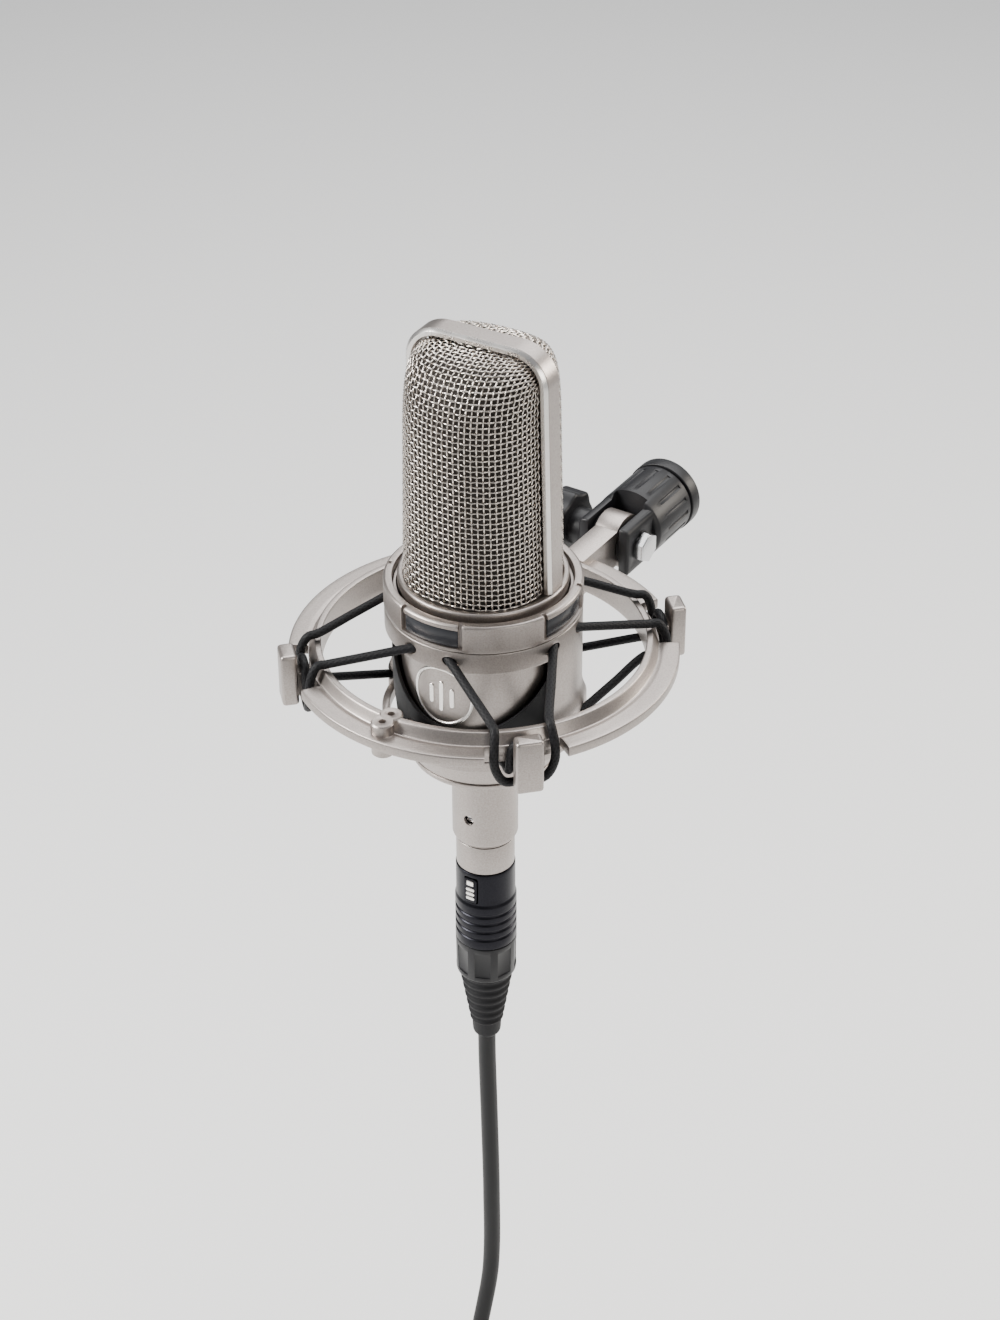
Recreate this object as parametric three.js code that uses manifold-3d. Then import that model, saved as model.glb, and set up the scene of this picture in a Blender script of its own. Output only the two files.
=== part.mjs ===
// A side-address studio condenser microphone in its elastic shock mount, with the swivel stand clamp
// and the plugged-in cable. Millimetres, +Z up. The front of the microphone faces -Y and the stand
// clamp stands out behind, along +Y. The origin is the centre of the clamp's thread mouth.
// The pieces are drawn in the mount's own frame, whose origin is on the microphone's axis at the
// height of the lock ring's top, and one group then shifts them all.

import * as THREE from 'three';
import { mergeVertices } from 'three/addons/utils/BufferGeometryUtils.js';
import Module from 'manifold-3d';

const wasm = await Module();
wasm.setup();

// ---------------------------------------------------------------- driving dimensions

const gap = 0.3;                    // clearance between pieces that touch
const facets = { ring: 40, body: 32, plug: 20, pin: 8 };   // sides of the turned shapes
const micTurn = 3;                  // degrees the microphone is turned in its cradle

const shoulderTop = 1.75;
const bodyRadius = 25.8;
const bodyBottom = -62.6;
const shoulder = { radius: bodyRadius + 0.4, top: shoulderTop, bottom: -3, step: 1.2, bore: 9, lip: 1.3 };
const body = {                      // the microphone's body tube
  radius: bodyRadius, wall: 1.8, taperFrom: bodyBottom + 17.6, bottom: bodyBottom,
  bottomRadius: bodyRadius - 2.5,
};
const head = {                      // the U-shaped frame around the grilles
  base: shoulder.top + gap, top: 81.4, depth: 8.4, wall: 2.6, bevel: 0.9,
  halfBottom: body.radius - 0.1, halfTop: body.radius - 2.2, corner: 11.5,
};
const grille = {                    // crown and fullness make it squarer than an ellipse
  bulge: body.radius - 2.1, kneeHeight: head.top - 31.4, wall: 0.9, edge: 2.4, crown: 4, fullness: 2.5,
};
const screen = { inset: 2.2, wall: 0.5 };

const cap = { thickness: 1.9, chamfer: 0.7 };
const stem = { radius: 10.6, wall: 1.2, bottom: body.bottom - 35.5, chamfer: 1.3 };
const shell = { radius: stem.radius - 1.1, bore: stem.radius - 2.4, bottom: stem.bottom - 10.7 };
const contact = { radius: 1.2, circle: 3.55, tip: shell.bottom + 2.3 };
const stemScrew = { radius: 1.5, length: 3.2, height: stem.bottom + 11.1, head: 0.7, sunk: 0.5 };
const badge = { radius: 10.4, height: -29.7, recess: 0.5, proud: 0.5, rim: 0.8, barHalf: 0.6, barPitch: 3.6 };
const capsule = { radius: 16.5, plate: 5, ring: 2.2, film: 0.4, height: head.top - 37.4 };
const board = { width: 34, height: 46, thickness: 1.6, top: -6 };
const transformerSize = { width: 20, depth: 15, height: 17, bottom: body.bottom + 5.1 };
const rail = { width: 3, depth: 2.4 };
const slider = { width: 3, length: 3.4, travel: 3, proud: 0.7, angle: 39, height: -23.5 };

const liner = {                     // the black cup that the microphone's body sits in
  bore: body.radius + 1.1, radius: body.radius + 2.5, top: -17, taperFrom: -37, bottom: -55.5,
  bottomRadius: body.radius + 0.1, windowHalf: body.radius + 0.2, windowDrop: 23.5, turn: 14.5,
};
const cradle = {
  neckBore: body.radius + 0.8, neckRadius: body.radius + 1.6, neckTop: -2.2,
  radius: liner.radius + 2.1, bandBottom: liner.top + 0.4, legBore: liner.radius + 0.6,
  flareFrom: -36.8, flareTo: -40, flareRadius: liner.radius + 3.6, flareBore: liner.radius + 1.3,
  ringTop: -48, bottom: -51.8, legFront: 76, legBack: 118, rearLeg: 16, frontLug: 18, frontLugTop: -40.2,
};
const lockRing = { radius: cradle.radius + 0.1, bore: cradle.neckRadius + gap, height: 9.3, chamfer: 0.5 };
const panel = { halfAngle: 19.65, depth: 1.1, top: -1.7, bottom: -8.1, notch: 1.3, notchDepth: 1.7 };

const ringBore = cradle.radius + 19.6;
const ring = {                      // the outer ring of the shock mount
  bore: ringBore, top: -22.3, bottom: -31.5, rimWidth: 1.9, wallRadius: ringBore + 4,
  flangeRadius: ringBore + 10.3, flangeTop: -25.6, flangeBottom: -29, flangeGap: 12.1,
};
const post = { radius: ring.wallRadius + 7, thick: 5.2, wide: 8.4, top: -19, bottom: -37, chamfer: 0.9 };
const neck = { wide: 4.6, top: -26.5, bottom: -34.6 };
const boss = { radius: 3.5, hole: 1.1, spacing: 4.6, first: ring.bore + 0.4, top: -22, bottom: -33.2 };

const pivot = { y: ring.bore + 30, z: -28.7, bolt: 3, boltHead: 5.2, headHeight: 3.2 };
const tongue = { thick: 8.2, half: 6.4, disc: pivot.bolt + 6 };
const washer = { radius: pivot.bolt + 4.4, thick: 1.2 };
const insert = { threadRadius: 7.94, radius: 9.6, length: 15 };
const clamp = {
  jawFront: pivot.y - 8, slotEnd: pivot.y + 10.5, slotHalf: tongue.thick / 2 + washer.thick + 2 * gap,
  halfHeight: 8.8, corner: 2.6, barrelFrom: pivot.y + 7.5, barrelRadius: insert.radius + 2.6,
  barrelEnd: pivot.y + 30, grooveWidth: 0.8, grooveRadius: insert.radius + 1.4,
  collarRadius: insert.radius + 3, mouth: pivot.y + 35,
};
const jawHalf = clamp.slotHalf + 3.6;
const knob = {
  radius: 11.6, inner: jawHalf + 3.1, outer: jawHalf + 15, hub: pivot.bolt + 3.4, lobes: 8, lobeDepth: 1.1,
};

const elasticRadius = 1.4;
const elastic = {
  radius: elasticRadius, spread: 31, upperHole: -13.3, lowerHole: -43.6, holeRadius: elasticRadius + 0.45,
};

const plugTop = shell.bottom - 0.35;
const plugWaist = plugTop - 30.45;
const plug = {
  top: plugTop, radius: shell.radius + 0.2, waist: plugWaist, waistRadius: shell.radius + 0.6,
  noseRadius: shell.bore - 0.5, noseTop: stem.bottom + 0.2, sleeveBottom: plugWaist - 14.4,
  sleeveRadius: shell.radius + 0.45, boreRadius: shell.bore - 0.1, grooves: [plugWaist + 14, plugWaist + 8],
  grooveDepth: 0.4,
};
const latch = { width: 4.4, top: plug.top - 1.85, bottom: plug.top - 11.45, depth: 1.4, proud: 0.25 };
const boot = {
  topRadius: plug.radius - 0.6, endRadius: 5.6, taperEnd: plug.sleeveBottom - 21.6,
  end: plug.sleeveBottom - 29, noseRadius: 5.1, ribs: 6, ribDepth: 0.55,
};

const cable = {                     // its coil hangs in the XZ plane, layers by columns of turns
  radius: 3, coilTop: -348, coilRadius: 36, turnSpacing: 6.25, layers: 3, columns: 4, coilCorner: 3.5,
  tailDrop: 54,
};
const farPlug = {
  radius: plug.radius - 0.1, bore: plug.boreRadius, length: 46, shellLength: 30, bootLength: 22,
};
const strap = { wide: 11, thick: 1.2, clear: 0.7, angle: 24 };

// ---------------------------------------------------------------- small helpers

const rad = THREE.MathUtils.degToRad;
const v2 = (x, y) => new THREE.Vector2(x, y);
const v3 = (x, y, z) => new THREE.Vector3(x, y, z);
const polar = (radius, degrees, z) => v3(radius * Math.cos(rad(degrees)), radius * Math.sin(rad(degrees)), z);

/** Leaves only shared positions, and turns the surface outwards. */
function weld(geometry) {
  const bare = new THREE.BufferGeometry();
  bare.setAttribute('position', geometry.getAttribute('position').clone());
  bare.setIndex(geometry.index ? geometry.index.clone() : null);
  const merged = mergeVertices(bare, 1e-4);
  const place = merged.getAttribute('position');
  const corners = [v3(), v3(), v3()];
  const kept = [];
  let volume = 0;
  for (let i = 0; i < merged.index.count; i += 3) {
    const ids = [0, 1, 2].map((k) => merged.index.getX(i + k));
    if (ids[0] === ids[1] || ids[1] === ids[2] || ids[2] === ids[0]) continue;
    ids.forEach((id, k) => corners[k].fromBufferAttribute(place, id));
    volume += corners[0].dot(corners[1].clone().cross(corners[2]));
    kept.push(ids);
  }
  merged.setIndex(kept.flatMap((ids) => (volume < 0 ? [ids[0], ids[2], ids[1]] : ids)));
  return merged;
}

function solid(geometry) {
  const welded = weld(geometry);
  return new wasm.Manifold(new wasm.Mesh({
    numProp: 3,
    vertProperties: new Float32Array(welded.getAttribute('position').array),
    triVerts: new Uint32Array(welded.index.array),
  }));
}

function surface(manifold) {
  const { vertProperties, triVerts } = manifold.getMesh();
  const geometry = new THREE.BufferGeometry();
  geometry.setAttribute('position', new THREE.BufferAttribute(new Float32Array(vertProperties), 3));
  geometry.setIndex(new THREE.BufferAttribute(new Uint32Array(triVerts), 1));
  return geometry;
}

const cut = (geometry, ...tools) => surface(
  tools.reduce((left, tool) => left.subtract(solid(tool)), solid(geometry)),
);
const join = (...pieces) => surface(pieces.map(solid).reduce((all, piece) => all.add(piece)));
const common = (first, second) => surface(solid(first).intersect(solid(second)));

/** Turns a profile of [radius, height] corners about Z. It starts and ends on the axis, or closes. */
function turned(profile, segments = 48) {
  const onAxis = profile[0][0] === 0 && profile.at(-1)[0] === 0;
  const corners = onAxis ? profile : [...profile, profile[0]];
  const geometry = new THREE.LatheGeometry(corners.map(([r, z]) => v2(r, z)), segments);
  return geometry.rotateX(Math.PI / 2);
}

const rod = (radius, from, to, segments = 24) => turned(
  [[0, from], [radius, from], [radius, to], [0, to]],
  segments,
);
const pipe = (outer, inner, from, to, segments = 48) => turned(
  [[inner, from], [outer, from], [outer, to], [inner, to]],
  segments,
);

/** A rod along X or Y instead of Z. */
const rodX = (radius, from, to, y, z, segments = 24) => rod(radius, from, to, segments)
  .rotateY(Math.PI / 2).translate(0, y, z);
const rodY = (radius, from, to, x, z, segments = 24) => rod(radius, -to, -from, segments)
  .rotateX(Math.PI / 2).translate(x, 0, z);

function box(x0, x1, y0, y1, z0, z1) {
  const geometry = new THREE.BoxGeometry(x1 - x0, y1 - y0, z1 - z0);
  return geometry.translate((x0 + x1) / 2, (y0 + y1) / 2, (z0 + z1) / 2);
}

/** A flat outline in XY pushed up Z between two heights, with its edges chamfered if asked. */
function pushed(points, from, to, chamfer = 0) {
  const geometry = new THREE.ExtrudeGeometry(new THREE.Shape(points), {
    depth: to - from - 2 * chamfer, bevelEnabled: chamfer > 0, bevelSegments: 1,
    bevelThickness: chamfer, bevelSize: chamfer, bevelOffset: -chamfer, steps: 1,
  });
  return geometry.translate(0, 0, from + chamfer);
}

/** A wedge of a pipe between two directions in degrees, for cutting windows. */
function sector(inner, outer, from, to, z0, z1) {
  const steps = Math.max(2, Math.ceil((to - from) / 6));
  const angles = Array.from({ length: steps + 1 }, (_, i) => rad(from + ((to - from) * i) / steps));
  const arc = (radius) => angles.map((a) => v2(radius * Math.cos(a), radius * Math.sin(a)));
  return pushed([...arc(outer), ...arc(inner).reverse()], z0, z1);
}

function roundedRectangle(halfX, halfY, corner, steps = 3) {
  const points = [];
  for (const [sx, sy, start] of [[1, -1, -90], [1, 1, 0], [-1, 1, 90], [-1, -1, 180]]) {
    for (let i = 0; i <= steps; i += 1) {
      const a = rad(start + (90 * i) / steps);
      const x = sx * (halfX - corner) + corner * Math.cos(a);
      points.push(v2(x, sy * (halfY - corner) + corner * Math.sin(a)));
    }
  }
  return points;
}

/** A round cord along a smooth curve through the points. */
function cord(points, radius, steps, sides = 8) {
  const circle = Array.from({ length: sides }, (_, i) => v2(
    radius * Math.cos((i * 2 * Math.PI) / sides),
    radius * Math.sin((i * 2 * Math.PI) / sides),
  ));
  return new THREE.ExtrudeGeometry(new THREE.Shape(circle), {
    extrudePath: new THREE.CatmullRomCurve3(points, false, 'centripetal'), steps, bevelEnabled: false,
  });
}

const finishes = {
  satinNickel: { color: 0xb9afa8, metalness: 1, roughness: 0.38 },
  meshWire: { color: 0xcfc8c0, metalness: 1, roughness: 0.25 },
  fineScreen: { color: 0x3a2f28, metalness: 0.6, roughness: 0.5 },
  blackPlastic: { color: 0x15151a, metalness: 0, roughness: 0.5 },
  blackRubber: { color: 0x1d1d20, metalness: 0, roughness: 0.75 },
  elastic: { color: 0x0d0d0f, metalness: 0, roughness: 0.9 },
  brass: { color: 0xb9975a, metalness: 1, roughness: 0.3 },
  steel: { color: 0xa9a9ab, metalness: 1, roughness: 0.3 },
  goldFilm: { color: 0xd8b46a, metalness: 1, roughness: 0.2 },
  circuitBoard: { color: 0x1e5a3a, metalness: 0, roughness: 0.6 },
};

const model = new THREE.Group();
const microphone = new THREE.Group();
microphone.rotation.z = rad(micTurn);
model.add(microphone);

function add(name, geometry, finish, parent = model) {
  const mesh = new THREE.Mesh(weld(geometry), new THREE.MeshStandardMaterial(finishes[finish]));
  mesh.name = name;
  parent.add(mesh);
  return mesh;
}

// ---------------------------------------------------------------- head: frame, grilles, screens

/** Half the frame's outside width at a height, before the corners. */
const frameHalf = (z) => THREE.MathUtils.mapLinear(z, head.base, head.top, head.halfBottom, head.halfTop);

/** The frame's outline from its right foot over the top to its left foot, moved in by an inset. */
function frameOutline(inset, steps = 7) {
  const corner = head.corner - inset;
  const top = head.top - inset;
  const start = top - corner;
  const right = [v2(frameHalf(head.base) - inset, head.base)];
  for (let i = 0; i <= steps; i += 1) {
    const a = (Math.PI / 2) * (i / steps);
    const centre = frameHalf(start + inset) - inset - corner;
    right.push(v2(centre + corner * Math.cos(a), start + corner * Math.sin(a)));
  }
  const left = right.map((p) => v2(-p.x, p.y)).reverse();
  return [...right, ...left];
}

function headFrame() {
  const outline = [...frameOutline(0), ...frameOutline(head.wall).reverse()];
  return pushed(outline, -head.depth / 2, head.depth / 2, head.bevel).rotateX(Math.PI / 2);
}

/** Half the clear width inside the frame at a height, corners included. */
function insideHalf(z, inset) {
  const corner = head.corner - head.wall - inset;
  const top = head.top - head.wall - inset;
  const rise = z - (top - corner);
  const straight = frameHalf(z) - head.wall - inset;
  return rise <= 0 ? straight : straight - corner + Math.sqrt(Math.max(0, corner ** 2 - rise ** 2));
}

/** How far the woven shell stands forward at a height: straight, then rounding back to the top. */
function bulge(z, inset) {
  const top = head.top - head.wall - inset;
  const rise = THREE.MathUtils.clamp((z - grille.kneeHeight) / (top - grille.kneeHeight), 0, 1);
  const edge = grille.edge;
  return edge + (grille.bulge - inset - edge) * (1 - rise ** grille.crown) ** (1 / grille.crown);
}

/** A sine or cosine drawn out, so that a round section becomes a fuller one. */
const drawnOut = (value) => Math.sign(value) * Math.abs(value) ** (2 / grille.fullness);

/** A closed shell that bulges to -Y, from the shoulder up to the frame's top. */
function wovenShell(inset, wall, across = 12, up = 8) {
  const foot = shoulder.top + gap;
  const layers = [inset, inset + wall].map((depth) => {
    const top = head.top - head.wall - depth - gap;
    const rows = [];
    for (let j = 0; j <= up; j += 1) {
      const turn = (Math.PI / 2) * Math.max(0, (j / up) * 2 - 1);
      const knee = Math.min(1, (j / up) * 2);
      const z = foot + (grille.kneeHeight - foot) * knee + (top - grille.kneeHeight) * Math.sin(turn);
      const half = insideHalf(z, depth) - gap;
      const forward = bulge(z, depth) - grille.edge;
      rows.push(Array.from({ length: across + 1 }, (_, i) => {
        const t = Math.PI * (i / across - 0.5);
        const x = half * drawnOut(Math.sin(t));
        return [x, -grille.edge - forward * drawnOut(Math.cos(t)), z];
      }));
    }
    return rows;
  });
  const places = layers.flat(2);
  const id = (layer, j, i) => (layer * (up + 1) + j) * (across + 1) + i;
  const triangles = [];
  const quad = (a, b, c, d) => triangles.push(a, b, c, a, c, d);
  for (let j = 0; j < up; j += 1) {
    for (let i = 0; i < across; i += 1) {
      quad(id(0, j, i), id(0, j, i + 1), id(0, j + 1, i + 1), id(0, j + 1, i));
      quad(id(1, j, i), id(1, j + 1, i), id(1, j + 1, i + 1), id(1, j, i + 1));
    }
    quad(id(0, j, 0), id(0, j + 1, 0), id(1, j + 1, 0), id(1, j, 0));
    quad(id(0, j, across), id(1, j, across), id(1, j + 1, across), id(0, j + 1, across));
  }
  for (let i = 0; i < across; i += 1) {
    quad(id(0, 0, i), id(1, 0, i), id(1, 0, i + 1), id(0, 0, i + 1));
    quad(id(0, up, i), id(0, up, i + 1), id(1, up, i + 1), id(1, up, i));
  }
  const geometry = new THREE.BufferGeometry();
  geometry.setAttribute('position', new THREE.Float32BufferAttribute(places.flat(), 3));
  geometry.setIndex(triangles);
  return geometry;
}

add('head_frame', headFrame(), 'satinNickel', microphone);
add('front_grille', wovenShell(0, grille.wall), 'meshWire', microphone);
add('rear_grille', wovenShell(0, grille.wall).rotateZ(Math.PI), 'meshWire', microphone);
add('front_screen', wovenShell(screen.inset, screen.wall, 8, 6), 'fineScreen', microphone);
add('rear_screen', wovenShell(screen.inset, screen.wall, 8, 6).rotateZ(Math.PI), 'fineScreen', microphone);

// ---------------------------------------------------------------- body, connector and what is inside

const arc = (cx, cz, radius, from, to, steps) => Array.from({ length: steps + 1 }, (_, i) => {
  const a = rad(from + ((to - from) * i) / steps);
  return [cx + radius * Math.cos(a), cz + radius * Math.sin(a)];
});

function shoulderRing() {
  const { radius, top, bottom, step, bore, lip } = shoulder;
  const seat = body.radius - body.wall - gap;
  return turned([
    [bore, bottom], [seat, bottom], [seat, bottom + step], [radius, bottom + step],
    ...arc(radius - lip, top - lip, lip, 0, 90, 2), [bore, top],
  ], facets.body);
}

function bodyProfile() {
  const { radius, wall, taperFrom, bottom, bottomRadius } = body;
  const outside = [];
  for (let i = 0; i <= 3; i += 1) {
    const t = i / 3;
    outside.push([bottomRadius + (radius - bottomRadius) * Math.sin((t * Math.PI) / 2),
      bottom + (taperFrom - bottom) * t]);
  }
  const top = shoulder.bottom + shoulder.step - gap;
  const inside = [[radius - wall, top], [radius - wall, taperFrom], [bottomRadius - wall, bottom]];
  return [...outside, [radius, top], ...inside];
}

function bodyTube() {
  const badgeRecess = common(
    rodY(badge.radius + gap, -body.radius - 2, 0, 0, badge.height, facets.plug),
    pipe(body.radius + 2, body.radius - badge.recess, badge.height - 20, badge.height + 20, facets.body),
  );
  const slotHalf = slider.width / 2 + gap;
  const slotTop = slider.height + slider.length / 2 + gap;
  const slotBottom = slotTop - slider.length - slider.travel - 2 * gap;
  const slots = [-1, 1].map((side) => box(
    -slotHalf, slotHalf, body.radius - 5, body.radius + 2, slotBottom, slotTop,
  ).rotateZ(rad(-side * slider.angle)));
  return cut(turned(bodyProfile(), facets.body), badgeRecess, ...slots);
}

/** The round badge, curved with the body, with a raised rim and three raised bars. */
function badgePlate() {
  const base = body.radius - badge.recess + gap;
  const face = base + 0.45;
  const top = body.radius + badge.proud;
  const disc = (radius) => rodY(radius, -body.radius - 2, 0, 0, badge.height, facets.plug);
  const layer = (inner, outer) => pipe(outer, inner, badge.height - 20, badge.height + 20, facets.body);
  const plate = common(disc(badge.radius), layer(base, face));
  const rim = cut(disc(badge.radius), disc(badge.radius - badge.rim));
  const bars = [-1, 0, 1].map((i) => box(
    i * badge.barPitch - badge.barHalf, i * badge.barPitch + badge.barHalf, -body.radius - 2, 0,
    badge.height - 5.4 + Math.abs(i) * 2, badge.height + 5.4 - Math.abs(i) * 2,
  ));
  const raised = [rim, ...bars].map((piece) => common(piece, layer(base + 0.05, top)));
  return join(plate, ...raised);
}

add('shoulder_ring', shoulderRing(), 'satinNickel', microphone);
add('body_tube', bodyTube(), 'satinNickel', microphone);
add('badge', badgePlate(), 'satinNickel', microphone);

const capTop = body.bottom - gap;
const capBottom = capTop - cap.thickness;
add('bottom_cap', turned([
  [stem.radius + gap, capTop], [body.bottomRadius, capTop],
  [body.bottomRadius, capBottom + cap.chamfer], [body.bottomRadius - cap.chamfer, capBottom],
  [stem.radius + gap, capBottom],
], facets.body), 'satinNickel', microphone);

const stemTop = body.bottom + 4;
const screwHole = (back, segments) => rodY(
  stemScrew.radius + gap, -stem.radius - 2, back, 0, stemScrew.height, segments,
);
add('connector_stem', cut(turned([
  [stem.radius - stem.wall, stemTop], [stem.radius, stemTop], [stem.radius, stem.bottom + stem.chamfer],
  [stem.radius - stem.chamfer * 0.75, stem.bottom], [shell.radius - 0.4, stem.bottom],
  [shell.radius - 0.4, stem.bottom + 1], [stem.radius - stem.wall, stem.bottom + 2],
], facets.plug), screwHole(0, 16)), 'satinNickel', microphone);
const shellPipe = pipe(shell.radius, shell.bore, shell.bottom, stem.bottom - gap, facets.plug);
add('connector_shell', shellPipe, 'satinNickel', microphone);

const insertFace = stem.bottom + 3;
const insertRadius = stem.radius - stem.wall - gap;
const contactPlaces = [0, 1, 2].map((i) => {
  const a = rad(90 + i * 120);
  return [contact.circle * Math.cos(a), contact.circle * Math.sin(a)];
});
const contactHoles = (from, to) => contactPlaces.map(([x, y]) => rod(
  contact.radius + gap, from, to, facets.pin,
).translate(x, y, 0));
add('connector_insert', cut(
  rod(insertRadius, insertFace, insertFace + 12, facets.plug),
  screwHole(-stem.radius + stemScrew.length + 1, facets.pin),
  ...contactHoles(insertFace - 1, insertFace + 13),
), 'blackPlastic', microphone);
contactPlaces.forEach(([x, y], i) => {
  const pin = turned([
    [0, contact.tip], [contact.radius * 0.6, contact.tip], [contact.radius, contact.tip + 0.8],
    [contact.radius, insertFace + 14], [0, insertFace + 14],
  ], facets.pin);
  add(`contact_pin_${i + 1}`, pin.translate(x, y, 0), 'brass', microphone);
});
const screwFace = -stem.radius + stemScrew.sunk;
add('stem_screw', cut(
  rodY(stemScrew.radius, screwFace, screwFace + stemScrew.length, 0, stemScrew.height, 16),
  box(-2, 2, screwFace - 1, screwFace + stemScrew.head, stemScrew.height - 0.3, stemScrew.height + 0.3),
), 'steel', microphone);

const plateHalf = capsule.plate / 2;
const discY = (radius, from, to) => rodY(radius, from, to, 0, capsule.height, facets.plug);
add('capsule_backplate', discY(capsule.radius - 1.5, -plateHalf, plateHalf), 'brass', microphone);
for (const [name, side] of [['front', -1], ['rear', 1]]) {
  const near = plateHalf + gap;
  const far = near + capsule.film;
  const span = (from, to) => (side < 0 ? [-to, -from] : [from, to]);
  add(`${name}_diaphragm`, discY(capsule.radius - 1.5, ...span(near, far)), 'goldFilm', microphone);
  add(`${name}_clamp_ring`, cut(
    discY(capsule.radius, ...span(far + gap, far + gap + capsule.ring)),
    discY(capsule.radius - 3.4, ...span(far, far + gap + capsule.ring + 1)),
  ), 'brass', microphone);
}

const saddleTop = capsule.height - capsule.radius - 1.2;
const ringSpan = plateHalf + 2 * gap + capsule.film + capsule.ring;
const saddleFoot = shoulder.top + gap;
add('capsule_saddle', join(
  box(-9, 9, -ringSpan, ringSpan, saddleTop - 3, saddleTop),
  box(-4, 4, -ringSpan, ringSpan, saddleFoot + 2.7, saddleTop - 2.9),
  rod(12, saddleFoot, saddleFoot + 2.8, 32),
), 'blackPlastic', microphone);

const boardBottom = board.top - board.height;
const boardHalf = board.thickness / 2;
const boardPlate = box(-board.width / 2, board.width / 2, -boardHalf, boardHalf, boardBottom, board.top);
add('circuit_board', boardPlate, 'circuitBoard', microphone);
const railInner = board.width / 2 + gap;
for (const [name, side] of [['left', -1], ['right', 1]]) {
  const x0 = side < 0 ? -railInner - rail.width : railInner;
  const bar = box(x0, x0 + rail.width, -rail.depth, rail.depth, boardBottom, shoulder.bottom - gap);
  add(`chassis_rail_${name}`, bar, 'steel', microphone);
}
add('transformer', pushed(
  roundedRectangle(transformerSize.width / 2, transformerSize.depth / 2, 1.5),
  transformerSize.bottom, transformerSize.bottom + transformerSize.height, 0.8,
).translate(0, board.thickness + transformerSize.depth / 2 - 0.4, 0), 'blackPlastic', microphone);

/** A slide switch in its rest position, at the top of its slot on the microphone's back. */
function slideSwitch(side) {
  const { width, length, proud, height, angle } = slider;
  const face = body.radius + proud;
  const back = body.radius - body.wall - 2;
  const plate = box(-width / 2, width / 2, back, face, height - length / 2, height + length / 2);
  const groove = box(-width, width, face - 0.4, face + 1, height - 0.3, height + 0.3);
  return cut(plate, groove).rotateZ(rad(-side * angle));
}

add('pad_switch', slideSwitch(-1), 'blackPlastic', microphone);
add('filter_switch', slideSwitch(1), 'blackPlastic', microphone);

// ---------------------------------------------------------------- shock mount: lock ring, cradle, liner

const quarters = [0, 90, 180, 270];
const postAngles = [-45, 45, 135, -135];
const cornerNames = ['front_right', 'rear_right', 'rear_left', 'front_left'];

function lockRingBody() {
  const { radius, bore, height, chamfer } = lockRing;
  const blank = turned([
    [bore, -height], [radius, -height], [radius, -chamfer],
    [radius - chamfer, 0], [bore, 0],
  ], facets.ring);
  const tools = [];
  for (const centre of quarters) {
    tools.push(sector(radius - panel.depth, radius + 2, centre - panel.halfAngle, centre + panel.halfAngle,
      panel.bottom, panel.top));
    for (const side of [-1, 1]) {
      const half = panel.notch / 2;
      const slot = box(radius - panel.notchDepth, radius + 2, -half, half, panel.bottom - gap, 1);
      tools.push(slot.rotateZ(rad(centre + side * panel.halfAngle)));
    }
  }
  return cut(blank, ...tools);
}

/** A point beside a post, given by its radius, its place across the post and its height. */
function besidePost(angle, radius, across, z) {
  return v3(radius, across, z).applyAxisAngle(v3(0, 0, 1), rad(angle));
}

/** The line that an elastic cord takes from a hole in the cradle towards its post. */
function cordLead(angle, side, upper) {
  const hole = polar(upper ? cradle.radius : cradle.flareRadius, angle + side * elastic.spread,
    upper ? elastic.upperHole : elastic.lowerHole);
  const over = upper
    ? besidePost(angle, ring.bore + 0.5, side * 8.6, ring.top + elastic.radius + 0.7)
    : besidePost(angle, ring.bore, side * 5.2, ring.bottom - elastic.radius - 1.3);
  return { hole, over, direction: over.clone().sub(hole).normalize() };
}

function cordHole(angle, side, upper) {
  const { hole, direction } = cordLead(angle, side, upper);
  const reach = upper ? 4.6 : 4.2;
  return cord([
    hole.clone().addScaledVector(direction, -reach), hole.clone().addScaledVector(direction, 3),
  ], elastic.holeRadius, 1, 8);
}

function cradleBody() {
  const c = cradle;
  const blank = turned([
    [c.neckBore, c.neckTop], [c.neckRadius, c.neckTop], [c.neckRadius, -lockRing.height - gap],
    [c.radius, -lockRing.height - gap], [c.radius, c.flareFrom], [c.flareRadius, c.flareTo],
    [c.flareRadius, c.bottom], [c.flareBore, c.bottom],
    [c.flareBore, c.flareTo], [c.legBore, c.flareFrom], [c.legBore, c.bandBottom], [c.neckBore, c.bandBottom],
  ], facets.ring);
  const far = c.flareRadius + 5;
  const window = (from, to, z0, z1) => sector(12, far, from, to, z0, z1);
  const front = -90;
  const tools = [
    window(front - c.legFront, front - c.frontLug, c.ringTop, c.bandBottom),
    window(front + c.frontLug, front + c.legFront, c.ringTop, c.bandBottom),
    window(front - c.frontLug - 0.1, front + c.frontLug + 0.1, c.frontLugTop, c.bandBottom),
    window(front + c.legBack, 90 - c.rearLeg, c.ringTop, c.bandBottom),
    window(90 + c.rearLeg, 270 - c.legBack, c.ringTop, c.bandBottom),
  ];
  for (const angle of postAngles) {
    for (const side of [-1, 1]) tools.push(cordHole(angle, side, true), cordHole(angle, side, false));
  }
  return cut(blank, ...tools);
}

/** Half an oval that opens upwards, in XZ, pushed forward from the axis to cut the liner's window. */
function linerWindow(turn) {
  const { windowHalf, windowDrop, top } = liner;
  const oval = Array.from({ length: 13 }, (_, i) => {
    const a = Math.PI * (1 + i / 12);
    return v2(windowHalf * Math.cos(a), top + windowDrop * Math.sin(a));
  });
  const outline = [...oval, v2(windowHalf, top + 3), v2(-windowHalf, top + 3)];
  return pushed(outline, 4, 40).rotateX(Math.PI / 2).rotateZ(rad(turn));
}

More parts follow.
